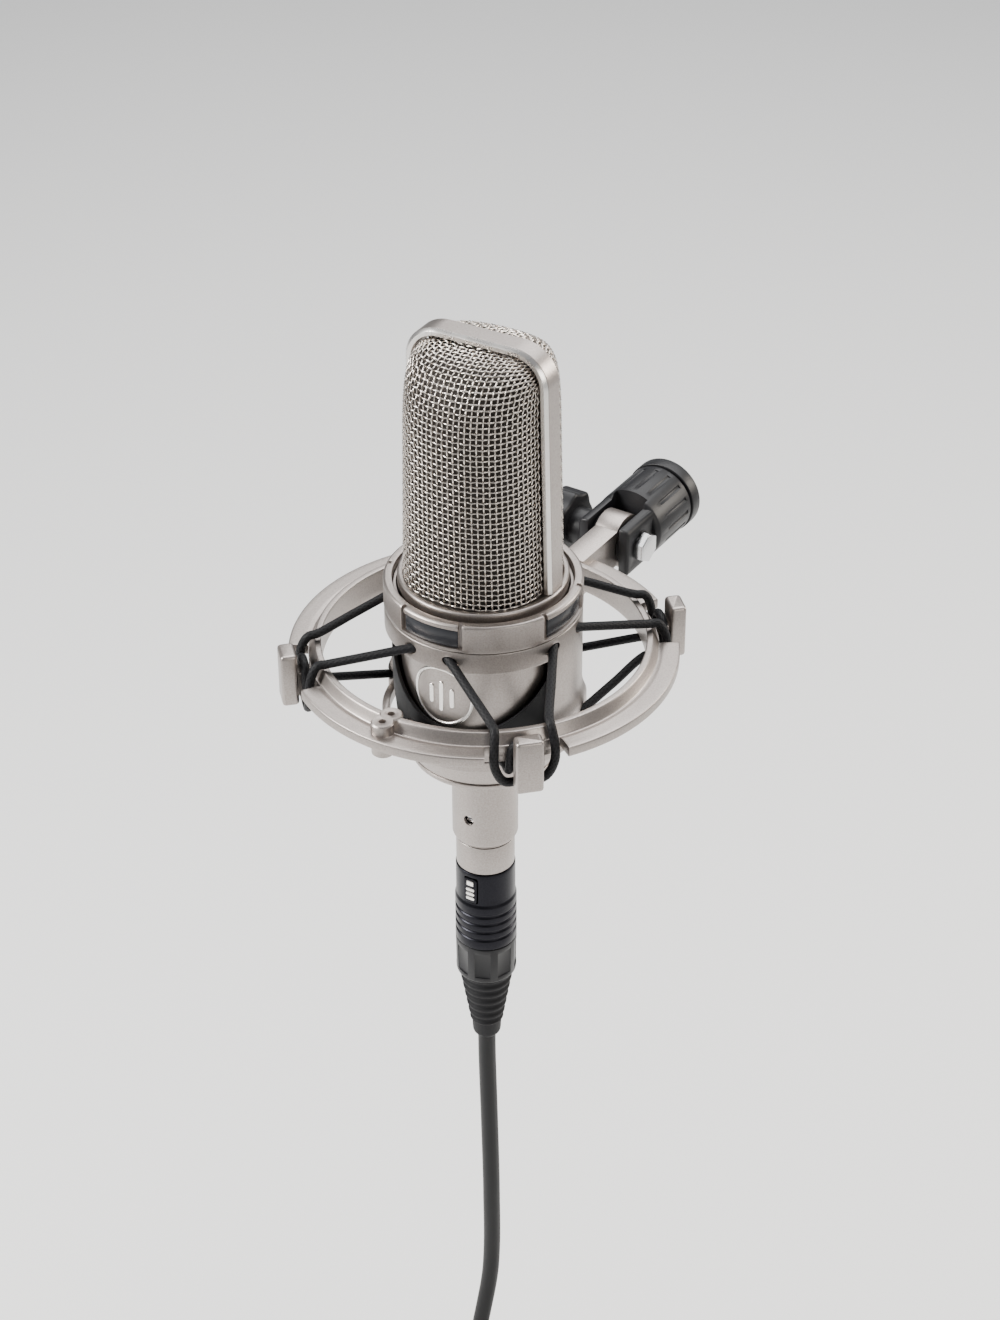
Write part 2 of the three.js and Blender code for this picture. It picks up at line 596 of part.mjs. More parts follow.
function linerCup() {
  const { bore, radius, top, taperFrom, bottom, bottomRadius } = liner;
  const wall = radius - bore;
  const profile = [
    [bore, top], [radius, top], [radius, taperFrom], [bottomRadius + wall / 2, bottom],
    [bottomRadius - wall / 2, bottom], [bore, taperFrom],
  ];
  return cut(turned(profile, facets.body), linerWindow(liner.turn), linerWindow(liner.turn + 180));
}

add('lock_ring', lockRingBody(), 'satinNickel');
add('cradle', cradleBody(), 'satinNickel');
add('cradle_liner', linerCup(), 'blackRubber');

// ---------------------------------------------------------------- shock mount: outer ring and cords

function ringBlank() {
  const r = ring;
  return turned([
    [r.bore, r.bottom], [r.bore, r.top], [r.bore + r.rimWidth, r.top],
    [r.bore + r.rimWidth + 0.6, r.top - 0.4], [r.wallRadius - 0.4, r.flangeTop],
    [r.flangeRadius - 0.5, r.flangeTop], [r.flangeRadius, r.flangeTop - 0.5],
    [r.flangeRadius, r.flangeBottom], [r.wallRadius, r.flangeBottom], [r.wallRadius, r.bottom],
  ], facets.ring);
}

/** One post with the neck that carries it, for the post on +X. */
function postPiece() {
  const inside = post.radius - post.thick / 2;
  const bar = pushed(
    roundedRectangle(post.thick / 2, post.wide / 2, 1.1, 2), post.bottom, post.top, post.chamfer,
  ).translate(post.radius, 0, 0);
  const arm = box(ring.wallRadius - 1.2, inside + 1, -neck.wide / 2, neck.wide / 2, neck.bottom, neck.top);
  return join(bar, arm);
}

function outerRing() {
  let whole = solid(ringBlank());
  for (const angle of postAngles) {
    const opening = sector(ring.wallRadius + 0.05, ring.flangeRadius + 3,
      angle - ring.flangeGap, angle + ring.flangeGap, ring.bottom - 5, ring.top + 5);
    whole = whole.subtract(solid(opening));
  }
  for (const angle of postAngles) whole = whole.add(solid(postPiece().rotateZ(rad(angle))));
  const bossPlaces = [-boss.first, -boss.first - boss.spacing];
  for (const y of bossPlaces) {
    const pillar = rod(boss.radius, boss.bottom, boss.top, 16);
    whole = whole.add(solid(pillar.translate(0, y, 0)));
  }
  for (const y of bossPlaces) {
    const drill = rod(boss.hole, boss.bottom - 1, boss.top + 1, facets.pin);
    whole = whole.subtract(solid(drill.translate(0, y, 0)));
  }
  const plate = box(-tongue.thick / 2, tongue.thick / 2, ring.wallRadius - 1.5, pivot.y,
    pivot.z - tongue.half, pivot.z + tongue.half);
  const eye = rodX(tongue.disc, -tongue.thick / 2, tongue.thick / 2, pivot.y, pivot.z, facets.plug);
  whole = whole.add(solid(plate)).add(solid(eye));
  whole = whole.subtract(solid(rodX(pivot.bolt + gap, -tongue.thick, tongue.thick, pivot.y, pivot.z, 16)));
  return surface(whole);
}

add('outer_ring', outerRing(), 'satinNickel');

// The channel between the ring's wall and the posts, where the cords pass round the necks.
const channel = (ring.wallRadius + post.radius - post.thick / 2) / 2;

/** The half of a cord's route on one side of its post, from the cradle to beside the neck. */
function cordHalf(angle, side, upper) {
  const { hole, over, direction } = cordLead(angle, side, upper);
  const at = (radius, across, z) => besidePost(angle, radius, side * across, z);
  const inside = hole.clone().addScaledVector(direction, upper ? -3.2 : -2.6);
  const start = [inside, hole.clone().lerp(over, 0.5), over];
  if (upper) {
    return [...start, at(channel - 3, 8.4, ring.top + elastic.radius + 0.3),
      at(channel - 0.7, 9, ring.top - 2.6), at(channel, 9, neck.top - 5),
      at(channel, 6, neck.bottom - elastic.radius - 0.9)];
  }
  return [...start, at(channel - 1, 4.6, ring.bottom - elastic.radius - 0.6),
    at(channel, 4.4, ring.bottom + 1.5), at(channel, 4.2, neck.top - 0.8),
    at(channel, 3.1, neck.top + elastic.radius + 0.7)];
}

function elasticCord(angle, upper) {
  const middle = upper ? neck.bottom - elastic.radius - 0.8 : neck.top + elastic.radius + 1.6;
  const under = besidePost(angle, channel, 0, middle);
  const points = [...cordHalf(angle, -1, upper), under, ...cordHalf(angle, 1, upper).reverse()];
  return cord(points, elastic.radius, 18);
}

postAngles.forEach((angle, i) => {
  add(`upper_cord_${cornerNames[i]}`, elasticCord(angle, true), 'elastic');
  add(`lower_cord_${cornerNames[i]}`, elasticCord(angle, false), 'elastic');
});

// ---------------------------------------------------------------- stand clamp

function clampBody() {
  const c = clamp;
  const section = roundedRectangle(jawHalf, c.halfHeight, c.corner);
  const jaws = pushed(section, c.jawFront, c.barrelFrom + 6, 0.8)
    .rotateX(-Math.PI / 2).translate(0, 0, pivot.z);
  const barrel = turned([
    [0, c.barrelFrom], [c.barrelRadius - 1.2, c.barrelFrom], [c.barrelRadius, c.barrelFrom + 1.2],
    [c.barrelRadius, c.barrelEnd - c.grooveWidth], [c.grooveRadius, c.barrelEnd - c.grooveWidth],
    [c.grooveRadius, c.barrelEnd], [c.collarRadius, c.barrelEnd], [c.collarRadius, c.mouth - 0.8],
    [c.collarRadius - 0.8, c.mouth], [0, c.mouth],
  ], facets.plug).rotateX(-Math.PI / 2).translate(0, 0, pivot.z);
  const slot = box(-c.slotHalf, c.slotHalf, c.jawFront - 2, c.slotEnd, pivot.z - 30, pivot.z + 30);
  const bore = rodX(pivot.bolt + gap, -20, 20, pivot.y, pivot.z, 16);
  const socketEnd = c.mouth - insert.length - gap;
  const socket = rodY(insert.radius + gap, socketEnd, c.mouth + 2, 0, pivot.z, facets.plug);
  return cut(join(jaws, barrel), slot, bore, socket);
}

add('clamp_body', clampBody(), 'blackPlastic');
add('thread_insert', cut(
  rodY(insert.radius, clamp.mouth - insert.length, clamp.mouth, 0, pivot.z, facets.plug),
  rodY(insert.threadRadius, clamp.mouth - insert.length - 1, clamp.mouth + 1, 0, pivot.z, facets.plug),
), 'brass');

const washerIn = tongue.thick / 2 + gap;
for (const [name, side] of [['left', -1], ['right', 1]]) {
  const span = side < 0 ? [-washerIn - washer.thick, -washerIn] : [washerIn, washerIn + washer.thick];
  add(`friction_washer_${name}`, cut(
    rodX(washer.radius, ...span, pivot.y, pivot.z, facets.plug),
    rodX(pivot.bolt + gap, -20, 20, pivot.y, pivot.z, 16),
  ), 'blackRubber');
}

const boltHeadIn = jawHalf + gap;
add('pivot_bolt', join(
  rodX(pivot.bolt, -knob.inner - 6, boltHeadIn + 1, pivot.y, pivot.z, 16),
  rodX(pivot.boltHead, boltHeadIn, boltHeadIn + pivot.headHeight, pivot.y, pivot.z, 6),
), 'steel');

/** The tightening knob: a lobed grip on a hub. */
function clampKnob() {
  const count = knob.lobes * 4;
  const rim = Array.from({ length: count }, (_, i) => {
    const a = (i / count) * 2 * Math.PI;
    const radius = knob.radius - knob.lobeDepth * (0.5 - 0.5 * Math.cos(knob.lobes * a));
    return v2(radius * Math.cos(a), radius * Math.sin(a));
  });
  const grip = pushed(rim, knob.inner + 2.4, knob.outer, 0.9);
  const hub = rod(knob.hub, jawHalf + gap, knob.inner + 2.6, 24);
  const bore = rod(pivot.bolt + gap, 0, knob.inner + 6 + gap, 16);
  return cut(join(grip, hub), bore).rotateY(-Math.PI / 2).translate(0, pivot.y, pivot.z);
}

add('clamp_knob', clampKnob(), 'blackPlastic');

// ---------------------------------------------------------------- cable plug on the microphone

function plugShell() {
  const p = plug;
  const groove = (z) => [[p.waistRadius, z], [p.waistRadius - p.grooveDepth, z - 0.4],
    [p.waistRadius - p.grooveDepth, z - 1.3], [p.waistRadius, z - 1.7]];
  const blank = turned([
    [p.boreRadius, p.top], [p.radius, p.top], [p.radius, latch.bottom - 1], [p.waistRadius, latch.bottom - 2],
    ...p.grooves.flatMap(groove), [p.waistRadius, p.waist], [p.boreRadius, p.waist],
  ], facets.plug);
  const half = latch.width / 2 + gap;
  const back = -p.radius + latch.depth + gap;
  const slot = box(-half, half, -p.radius - 2, back, latch.bottom - gap, latch.top + gap);
  return cut(blank, slot);
}

/** The release button: a rounded plate with a square and three ovals raised on it. */
function plugLatch() {
  const face = -plug.radius - latch.proud;
  const middle = (latch.top + latch.bottom) / 2;
  const height = latch.top - latch.bottom;
  const plate = pushed(roundedRectangle(latch.width / 2, height / 2, 0.9), 0, latch.depth - 0.2)
    .rotateX(Math.PI / 2).translate(0, face + latch.depth - 0.2, middle);
  const bumps = [];
  bumps.push(box(-1.2, 1.2, face - 0.45, face + 0.1, latch.top - 2.7, latch.top - 0.9));
  for (let i = 0; i < 3; i += 1) {
    const z = latch.top - 4.1 - i * 1.9;
    const oval = pushed(roundedRectangle(1.5, 0.55, 0.5), 0, 0.5);
    bumps.push(oval.rotateX(Math.PI / 2).translate(0, face + 0.1, z));
  }
  return join(plate, ...bumps);
}

add('plug_shell', plugShell(), 'blackPlastic', microphone);
add('plug_latch', plugLatch(), 'steel', microphone);

const noseBottom = plug.top + gap;
add('plug_insert', cut(
  join(
    rod(plug.noseRadius, noseBottom - 1, plug.noseTop, facets.plug),
    rod(plug.boreRadius - gap, noseBottom - 22, noseBottom - 0.9, facets.plug),
  ),
  ...contactHoles(contact.tip - gap - 1, plug.noseTop + 1),
), 'blackPlastic', microphone);

const sleeveTop = plug.waist - gap;
const sleeveBore = boot.topRadius - 1.5;
add('plug_sleeve', turned([
  [sleeveBore, sleeveTop], [plug.waistRadius, sleeveTop], [plug.sleeveRadius, plug.sleeveBottom + 1.2],
  [plug.sleeveRadius - 0.8, plug.sleeveBottom], [sleeveBore, plug.sleeveBottom],
], facets.plug), 'blackPlastic', microphone);

/** A ribbed taper that ends in a small rounded nose, with a bore for the cable. */
function ribbedBoot(top, length, noseLength, ribs = boot.ribs) {
  const taper = length - noseLength;
  const end = top - length;
  const radiusAt = (t) => THREE.MathUtils.lerp(boot.topRadius, boot.endRadius, t);
  const rib = (_, i) => {
    const t = (i + 0.5) / ribs;
    return [[radiusAt(t), top - taper * t], [radiusAt(t) - boot.ribDepth, top - taper * t - 0.3]];
  };
  return turned([
    [cable.radius + gap, top], [boot.topRadius, top], ...Array.from({ length: ribs }, rib).flat(),
    [boot.endRadius, top - taper], [boot.noseRadius, top - taper - 0.4], [boot.noseRadius, end],
    [cable.radius + gap, end],
  ], 20);
}

const bootTop = plug.sleeveBottom - gap;
const plugBoot = ribbedBoot(bootTop, bootTop - boot.end, boot.taperEnd - boot.end);
add('plug_boot', plugBoot, 'blackRubber', microphone);

// ---------------------------------------------------------------- cable, coil and far plug

// The cable hangs from the plug, its spare length is coiled and strapped, and the far plug hangs
// from the coil's right side.
const coilThick = cable.layers * cable.turnSpacing;
const coilWide = cable.columns * cable.turnSpacing;
const coilOuter = cable.coilRadius + coilThick / 2;
const coilMiddle = cable.coilTop - coilOuter;
const cableRoute = [
  v3(0, 0, boot.end + 8), v3(0, 0, boot.end - 8), v3(0.6, 0.2, -222), v3(1.2, 0.3, -258),
  v3(0.8, 0.2, -294), v3(0, 0, cable.coilTop + gap),
];
add('cable', cord(cableRoute, cable.radius, 24, 10), 'blackRubber');

function coilSolid() {
  const outline = roundedRectangle(coilThick / 2, coilWide / 2, cable.coilCorner, 1);
  const ring = turned(outline.map((p) => [cable.coilRadius + p.x, p.y]), facets.body);
  return ring.rotateX(Math.PI / 2).translate(0, 0, coilMiddle);
}

add('cable_coil', coilSolid(), 'blackRubber');

/** The strap around the coil, drawn at the coil's top and then turned around its centre. */
function coilStrap() {
  const loop = (out) => pushed(
    roundedRectangle(coilThick / 2 + out, coilWide / 2 + out, cable.coilCorner + out, 1),
    -strap.wide / 2, strap.wide / 2,
  ).rotateY(Math.PI / 2).translate(0, 0, cable.coilRadius);
  const band = cut(loop(strap.clear + strap.thick), loop(strap.clear));
  return band.rotateY(rad(strap.angle)).translate(0, 0, coilMiddle);
}

add('coil_strap', coilStrap(), 'blackPlastic');

// The tail follows the outermost turn, so it comes clear of the coil's outside some way down.
const tailAcross = cable.coilRadius + cable.turnSpacing;
const tailStart = coilMiddle - Math.sqrt((coilOuter + gap) ** 2 - (tailAcross - cable.radius) ** 2) - gap;
const tailEnd = coilMiddle - cable.tailDrop;
add('cable_tail', cord([
  v3(tailAcross, 0, tailStart), v3(tailAcross, 0, tailEnd - 6),
], cable.radius, 6, 10), 'blackRubber');
add('far_plug_boot', ribbedBoot(0, farPlug.bootLength, 5, 2).rotateX(Math.PI)
  .translate(tailAcross, 0, tailEnd - farPlug.bootLength), 'blackRubber');

const farTop = tailEnd - farPlug.bootLength - gap;
const farStep = farTop - farPlug.shellLength;
const farBottom = farTop - farPlug.length;
const barrel = farPlug.radius - 0.6;
add('far_plug_shell', turned([
  [farPlug.bore, farBottom], [barrel, farBottom], [barrel, farStep],
  [farPlug.radius, farStep], [farPlug.radius, farTop], [farPlug.bore, farTop],
], facets.plug).translate(tailAcross, 0, 0), 'blackPlastic');
add('far_plug_insert', join(
  rod(farPlug.bore - gap, farStep, farStep + 8, facets.plug),
  ...contactPlaces.map(([x, y]) => rod(
    contact.radius, farBottom + 2.4, farStep + 1, facets.pin,
  ).translate(x, y, 0)),
).translate(tailAcross, 0, 0), 'blackPlastic');

model.position.set(0, -clamp.mouth, -pivot.z);

export default model;
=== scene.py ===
"""Looks for a studio condenser microphone in its elastic shock mount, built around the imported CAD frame."""

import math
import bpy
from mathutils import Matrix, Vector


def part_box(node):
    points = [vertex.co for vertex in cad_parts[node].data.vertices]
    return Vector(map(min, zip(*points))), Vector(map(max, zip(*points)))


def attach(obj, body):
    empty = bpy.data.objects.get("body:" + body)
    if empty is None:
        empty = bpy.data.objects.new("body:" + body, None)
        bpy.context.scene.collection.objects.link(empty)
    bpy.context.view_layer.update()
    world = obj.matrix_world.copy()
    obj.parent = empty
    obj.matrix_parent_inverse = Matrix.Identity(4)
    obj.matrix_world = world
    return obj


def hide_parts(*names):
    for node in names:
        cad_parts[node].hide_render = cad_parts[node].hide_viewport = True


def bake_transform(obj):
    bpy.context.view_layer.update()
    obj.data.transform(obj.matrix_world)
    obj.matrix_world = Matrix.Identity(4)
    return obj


bl_info = {
    "name": "Studio microphone looks",
    "version": (1, 0, 0),
    "blender": (4, 5, 0),
    "location": "View3D > Sidebar > Microphone",
    "description": "Makes a condenser microphone, its shock mount, stand clamp, plug and cable in detail",
    "category": "Object",
}

import bmesh
import bpy
import numpy as np
from mathutils import Matrix, Vector

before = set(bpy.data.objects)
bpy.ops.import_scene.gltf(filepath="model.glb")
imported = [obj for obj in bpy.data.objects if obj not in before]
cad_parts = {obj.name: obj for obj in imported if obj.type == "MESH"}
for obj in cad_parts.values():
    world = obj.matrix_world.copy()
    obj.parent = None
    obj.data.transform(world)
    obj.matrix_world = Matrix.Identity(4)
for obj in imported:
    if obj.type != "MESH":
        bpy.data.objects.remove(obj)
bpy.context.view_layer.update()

MM = 0.001
SHARP = math.radians(32)


# ---------------------------------------------------------------- places and sizes from the frame


def box_mm(node):
    """The low and high corners of a CAD node, in millimetres from the mount's own origin."""
    low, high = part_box(node)
    return (np.array(low) - ORIGIN) / MM, (np.array(high) - ORIGIN) / MM


def mount_origin():
    """The microphone's axis at the height of the lock ring's top."""
    low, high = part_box("lock_ring")
    return np.array([(low.x + high.x) / 2, (low.y + high.y) / 2, high.z])


def top_of(node):
    return box_mm(node)[1][2]


def bottom_of(node):
    return box_mm(node)[0][2]


def radius_of(node):
    low, high = box_mm(node)
    return (high[0] - low[0]) / 2


def middle_of(node):
    low, high = box_mm(node)
    return (low + high) / 2


ORIGIN = mount_origin()
# The microphone faces its badge, which is turned from the mount's own front by this many degrees.
MIC_TURN = math.degrees(math.atan2(*middle_of("badge")[:2] * [1, -1]))
POST_ANGLES = {"front_right": -45, "rear_right": 45, "rear_left": 135, "front_left": -135}


def turn_z(points, degrees):
    """Points turned about the microphone's axis."""
    angle = math.radians(degrees)
    spin = np.array([[math.cos(angle), -math.sin(angle), 0], [math.sin(angle), math.cos(angle), 0],
                     [0, 0, 1]])
    return np.asarray(points, float) @ spin.T


def in_frame(points):
    """Millimetres from the mount's origin, as metres in the frame."""
    return np.asarray(points, float) * MM + ORIGIN


# ---------------------------------------------------------------- mesh helpers, all in millimetres


class Shape:
    """Vertices and faces in millimetres, with a material index for each face."""

    def __init__(self, points, faces, indices=None):
        self.points = np.asarray(points, float).reshape(-1, 3)
        self.faces = list(faces)
        self.indices = list(indices) if indices is not None else [0] * len(self.faces)

    def moved(self, x=0, y=0, z=0):
        return Shape(self.points + [x, y, z], self.faces, self.indices)

    def turned(self, degrees):
        return Shape(turn_z(self.points, degrees), self.faces, self.indices)

    def swapped(self, order, signs=(1, 1, 1)):
        """The shape with its axes in another order, its faces still outwards."""
        points = self.points[:, order] * signs
        flips = np.linalg.det(np.eye(3)[order] * np.array(signs)[:, None]) < 0
        faces = [face[::-1] for face in self.faces] if flips else self.faces
        return Shape(points, faces, self.indices)

    def __add__(self, other):
        shift = len(self.points)
        faces = self.faces + [[i + shift for i in face] for face in other.faces]
        return Shape(np.vstack([self.points, other.points]), faces, self.indices + other.indices)


def to_object(name, shape, materials, turn=0.0, sharp=SHARP):
    """A mesh object in the frame, welded, facing outwards and smooth but for its sharp edges."""
    mesh = bpy.data.meshes.new(name)
    mesh.from_pydata(in_frame(turn_z(shape.points, turn)).tolist(), [], shape.faces)
    for material in materials:
        mesh.materials.append(material)
    mesh.polygons.foreach_set("material_index", shape.indices)
    obj = bpy.data.objects.new(name, mesh)
    bpy.context.scene.collection.objects.link(obj)
    clean(obj, sharp)
    return obj


def clean(obj, sharp=SHARP):
    bm = bmesh.new()
    bm.from_mesh(obj.data)
    bmesh.ops.remove_doubles(bm, verts=bm.verts, dist=2e-6)
    bmesh.ops.dissolve_degenerate(bm, dist=1e-6, edges=bm.edges)
    bmesh.ops.recalc_face_normals(bm, faces=bm.faces)
    bm.to_mesh(obj.data)
    bm.free()
    obj.data.shade_smooth()
    obj.data.set_sharp_from_angle(angle=sharp)


def settle(obj):
    """Turns the object's modifiers into plain mesh."""
    graph = bpy.context.evaluated_depsgraph_get()
    mesh = bpy.data.meshes.new_from_object(obj.evaluated_get(graph))
    obj.modifiers.clear()
    old = obj.data
    obj.data = mesh
    bpy.data.meshes.remove(old)
    return obj


def combine(obj, tools, operation="DIFFERENCE"):
    """Cuts or joins the object with each tool, and removes the tools."""
    for tool in tools:
        modifier = obj.modifiers.new("combine", "BOOLEAN")
        modifier.operation = operation
        modifier.solver = "EXACT"
        modifier.object = tool
        settle(obj)
        mesh = tool.data
        bpy.data.objects.remove(tool)
        bpy.data.meshes.remove(mesh)
    clean(obj)
    return obj


def round_edges(obj, width, segments=2, angle=48):
    """A small rounded edge, in millimetres, wherever the surface turns sharply."""
    modifier = obj.modifiers.new("edges", "BEVEL")
    modifier.width = width * MM
    modifier.segments = segments
    modifier.limit_method = "ANGLE"
    modifier.angle_limit = math.radians(angle)
    settle(obj)
    obj.data.shade_smooth()
    obj.data.set_sharp_from_angle(angle=math.radians(40))
    return obj


def fillet(corners, steps=3):
    """A closed outline from (x, y, radius) corners, with each corner rounded."""
    corners = [tuple(c) + (0,) * (3 - len(c)) for c in corners]
    points = []
    for k, (x, y, radius) in enumerate(corners):
        here = np.array([x, y], float)
        before = np.array(corners[k - 1][:2], float) - here
        after = np.array(corners[(k + 1) % len(corners)][:2], float) - here
        if radius <= 0:
            points.append(here)
            continue
        reach = min(radius, 0.48 * np.linalg.norm(before), 0.48 * np.linalg.norm(after))
        start = here + before / np.linalg.norm(before) * reach
        end = here + after / np.linalg.norm(after) * reach
        for t in np.linspace(0, 1, steps + 1):
            points.append((1 - t) ** 2 * start + 2 * t * (1 - t) * here + t * t * end)
    return np.array(points)


def split_long(profile, longest):
    """An outline with extra points wherever two are further apart than the longest step."""
    points = []
    for here, ahead in zip(profile, np.roll(profile, -1, axis=0)):
        parts = max(1, math.ceil(np.linalg.norm(ahead - here) / longest))
        points.extend(here + (ahead - here) * k / parts for k in range(parts))
    return np.array(points)


def lathe(profile, segments=128, longest=None):
    """A closed (radius, height) outline turned about Z. An outline may start and end on the axis."""
    profile = np.asarray(profile, float)
    on_axis = profile[0][0] == 0 and profile[-1][0] == 0
    if longest:
        profile = split_long(profile, longest)
    count = len(profile)
    angles = np.arange(segments) * 2 * math.pi / segments
    rings = np.stack([
        profile[None, :, 0] * np.cos(angles)[:, None],
        profile[None, :, 0] * np.sin(angles)[:, None],
        np.broadcast_to(profile[None, :, 1], (segments, count)),
    ], axis=-1)
    faces = []
    for i in range(segments):
        ahead = (i + 1) % segments
        for j in range(count - 1 if on_axis else count):
            up = (j + 1) % count
            faces.append([i * count + j, ahead * count + j, ahead * count + up, i * count + up])
    return Shape(rings.reshape(-1, 3), faces)


def rod(radius, low, high, segments):
    """A plain round bar along Z, for cutting holes and for round ends."""
    return lathe([(0, low), (radius, low), (radius, high), (0, high)], segments)


def bands(rings, count):
    """Quads between each ring of points and the next, with the same count in every ring."""
    faces = []
    for k in range(rings - 1):
        for i in range(count):
            ahead = (i + 1) % count
            faces.append([k * count + i, k * count + ahead, (k + 1) * count + ahead, (k + 1) * count + i])
    return faces


def prism(outline, low, high, edge=0.0, steps=2):
    """An XY outline pushed up Z, with rounded rims when edge is set. The outline is convex or nearly so."""
    outline = np.asarray(outline, float)
    ahead = np.roll(outline, -1, axis=0) - outline
    behind = outline - np.roll(outline, 1, axis=0)
    tangent = ahead / np.linalg.norm(ahead, axis=1)[:, None] + behind / np.linalg.norm(behind, axis=1)[:,
                                                                                                       None]
    tangent /= np.linalg.norm(tangent, axis=1)[:, None]
    area = np.sum(outline[:, 0] * np.roll(outline[:, 1], -1) - np.roll(outline[:, 0], -1) * outline[:, 1])
    inward = np.stack([-tangent[:, 1], tangent[:, 0]], axis=1) * np.sign(area)
    layers = []
    if edge > 0:
        for t in np.linspace(0, math.pi / 2, steps + 1):
            layers.append((edge * (1 - math.sin(t)), low + edge * (1 - math.cos(t))))
        for t in np.linspace(math.pi / 2, 0, steps + 1):
            layers.append((edge * (1 - math.sin(t)), high - edge * (1 - math.cos(t))))
    else:
        layers = [(0, low), (0, high)]
    count = len(outline)
    points = []
    for inset, z in layers:
        points.extend([x, y, z] for x, y in outline + inward * inset)
    faces = bands(len(layers), count)
    faces.append(list(range(count))[::-1])
    faces.append([(len(layers) - 1) * count + i for i in range(count)])
    return Shape(points, faces)


def block(x0, x1, y0, y1, z0, z1, edge=0.0):
    return prism([(x0, y0), (x1, y0), (x1, y1), (x0, y1)], z0, z1, edge)


def rounded_box(half_x, half_y, corner, steps=5):
    return fillet([(half_x, -half_y, corner), (half_x, half_y, corner),
                   (-half_x, half_y, corner), (-half_x, -half_y, corner)], steps)


def along_x(shape):
    """A shape drawn along Z, laid along X."""
    return shape.swapped([2, 1, 0], (1, 1, -1))


def along_y(shape):
    """A shape drawn along Z, laid along Y with the drawing's own Y downwards."""
    return shape.swapped([0, 2, 1], (1, 1, -1))


def swap_yz(shape):
    """A shape drawn along Z, laid along Y with the drawing's own Y upwards."""
    return shape.swapped([0, 2, 1])


def sector(inner, outer, start, stop, low, high):
    """A wedge of a thick pipe between two directions, for cutting windows."""
    angles = np.radians(np.linspace(start, stop, max(3, int((stop - start) / 2))))
    arc = np.stack([np.cos(angles), np.sin(angles)], axis=1)
    return prism(np.vstack([arc * outer, arc[::-1] * inner]), low, high)


def curve_points(points, count):
    """Points evenly spaced along a centripetal Catmull-Rom curve through the given ones."""
    points = np.asarray(points, float)
    ends = [2 * points[0] - points[1]], [2 * points[-1] - points[-2]]
    knots = np.vstack([ends[0], points, ends[1]])
    dense = []
    for a, b, c, d in zip(knots, knots[1:], knots[2:], knots[3:]):
        t1 = np.linalg.norm(b - a) ** 0.5
        t2 = t1 + np.linalg.norm(c - b) ** 0.5
        t3 = t2 + np.linalg.norm(d - c) ** 0.5
        for t in np.linspace(t1, t2, 24, endpoint=False):
            ab = a + (b - a) * t / t1
            bc = b + (c - b) * (t - t1) / (t2 - t1)
            cd = c + (d - c) * (t - t2) / (t3 - t2)
            abc = ab + (bc - ab) * t / t2
            bcd = bc + (cd - bc) * (t - t1) / (t3 - t1)
            dense.append(abc + (bcd - abc) * (t - t1) / (t2 - t1))
    dense.append(points[-1])
    return even(np.array(dense), count)


def lengths_along(path):
    """How far along a polyline each of its points is."""
    return np.concatenate([[0], np.cumsum(np.linalg.norm(np.diff(path, axis=0), axis=1))])


def even(dense, count):
    """A polyline resampled to evenly spaced points."""
    reach = lengths_along(dense)
    wanted = np.linspace(0, reach[-1], count)
    return np.stack([np.interp(wanted, reach, dense[:, k]) for k in range(3)], axis=1)


def frames_along(path):
    """Two steady normals, square to each other, along a path."""
    tangents = np.gradient(path, axis=0)
    tangents /= np.linalg.norm(tangents, axis=1)[:, None]
    side = np.cross(tangents[0], [0.13, 0.31, 0.94])
    normals = [side / np.linalg.norm(side)]
    for tangent in tangents[1:]:
        side = normals[-1] - tangent * np.dot(normals[-1], tangent)
        normals.append(side / np.linalg.norm(side))
    normals = np.array(normals)
    return normals, np.cross(tangents, normals)


def tube_object(name, path, radius, material, sides=14, turn=0.0):
    """A closed tube along a path in millimetres, with a UV map of turns round and metres along."""
    normals, others = frames_along(path)
    angles = np.arange(sides) * 2 * math.pi / sides
    rings = path[:, None] + radius * (
        np.cos(angles)[None, :, None] * normals[:, None] + np.sin(angles)[None, :, None] * others[:, None])
    count = len(path)
    points = np.vstack([rings.reshape(-1, 3), path[:1], path[-1:]])
    faces, uvs = bands(count, sides), []
    reach = lengths_along(path) * MM
    for i in range(count - 1):
        for j in range(sides):
            uvs.extend([(j / sides, reach[i]), ((j + 1) / sides, reach[i]),
                        ((j + 1) / sides, reach[i + 1]), (j / sides, reach[i + 1])])
    first, last = count * sides, count * sides + 1
    for j in range(sides):
        ahead = (j + 1) % sides
        faces.append([first, ahead, j])
        uvs.extend([(j / sides, 0)] * 3)
        faces.append([last, (count - 1) * sides + j, (count - 1) * sides + ahead])
        uvs.extend([(j / sides, reach[-1])] * 3)
    mesh = bpy.data.meshes.new(name)
    mesh.from_pydata(in_frame(turn_z(points, turn)).tolist(), [], faces)
    mesh.uv_layers.new(name="cord").data.foreach_set("uv", np.array(uvs, np.float32).ravel())
    mesh.materials.append(material)
    mesh.shade_smooth()
    obj = bpy.data.objects.new(name, mesh)
    bpy.context.scene.collection.objects.link(obj)
    return obj


# ---------------------------------------------------------------- geometry nodes


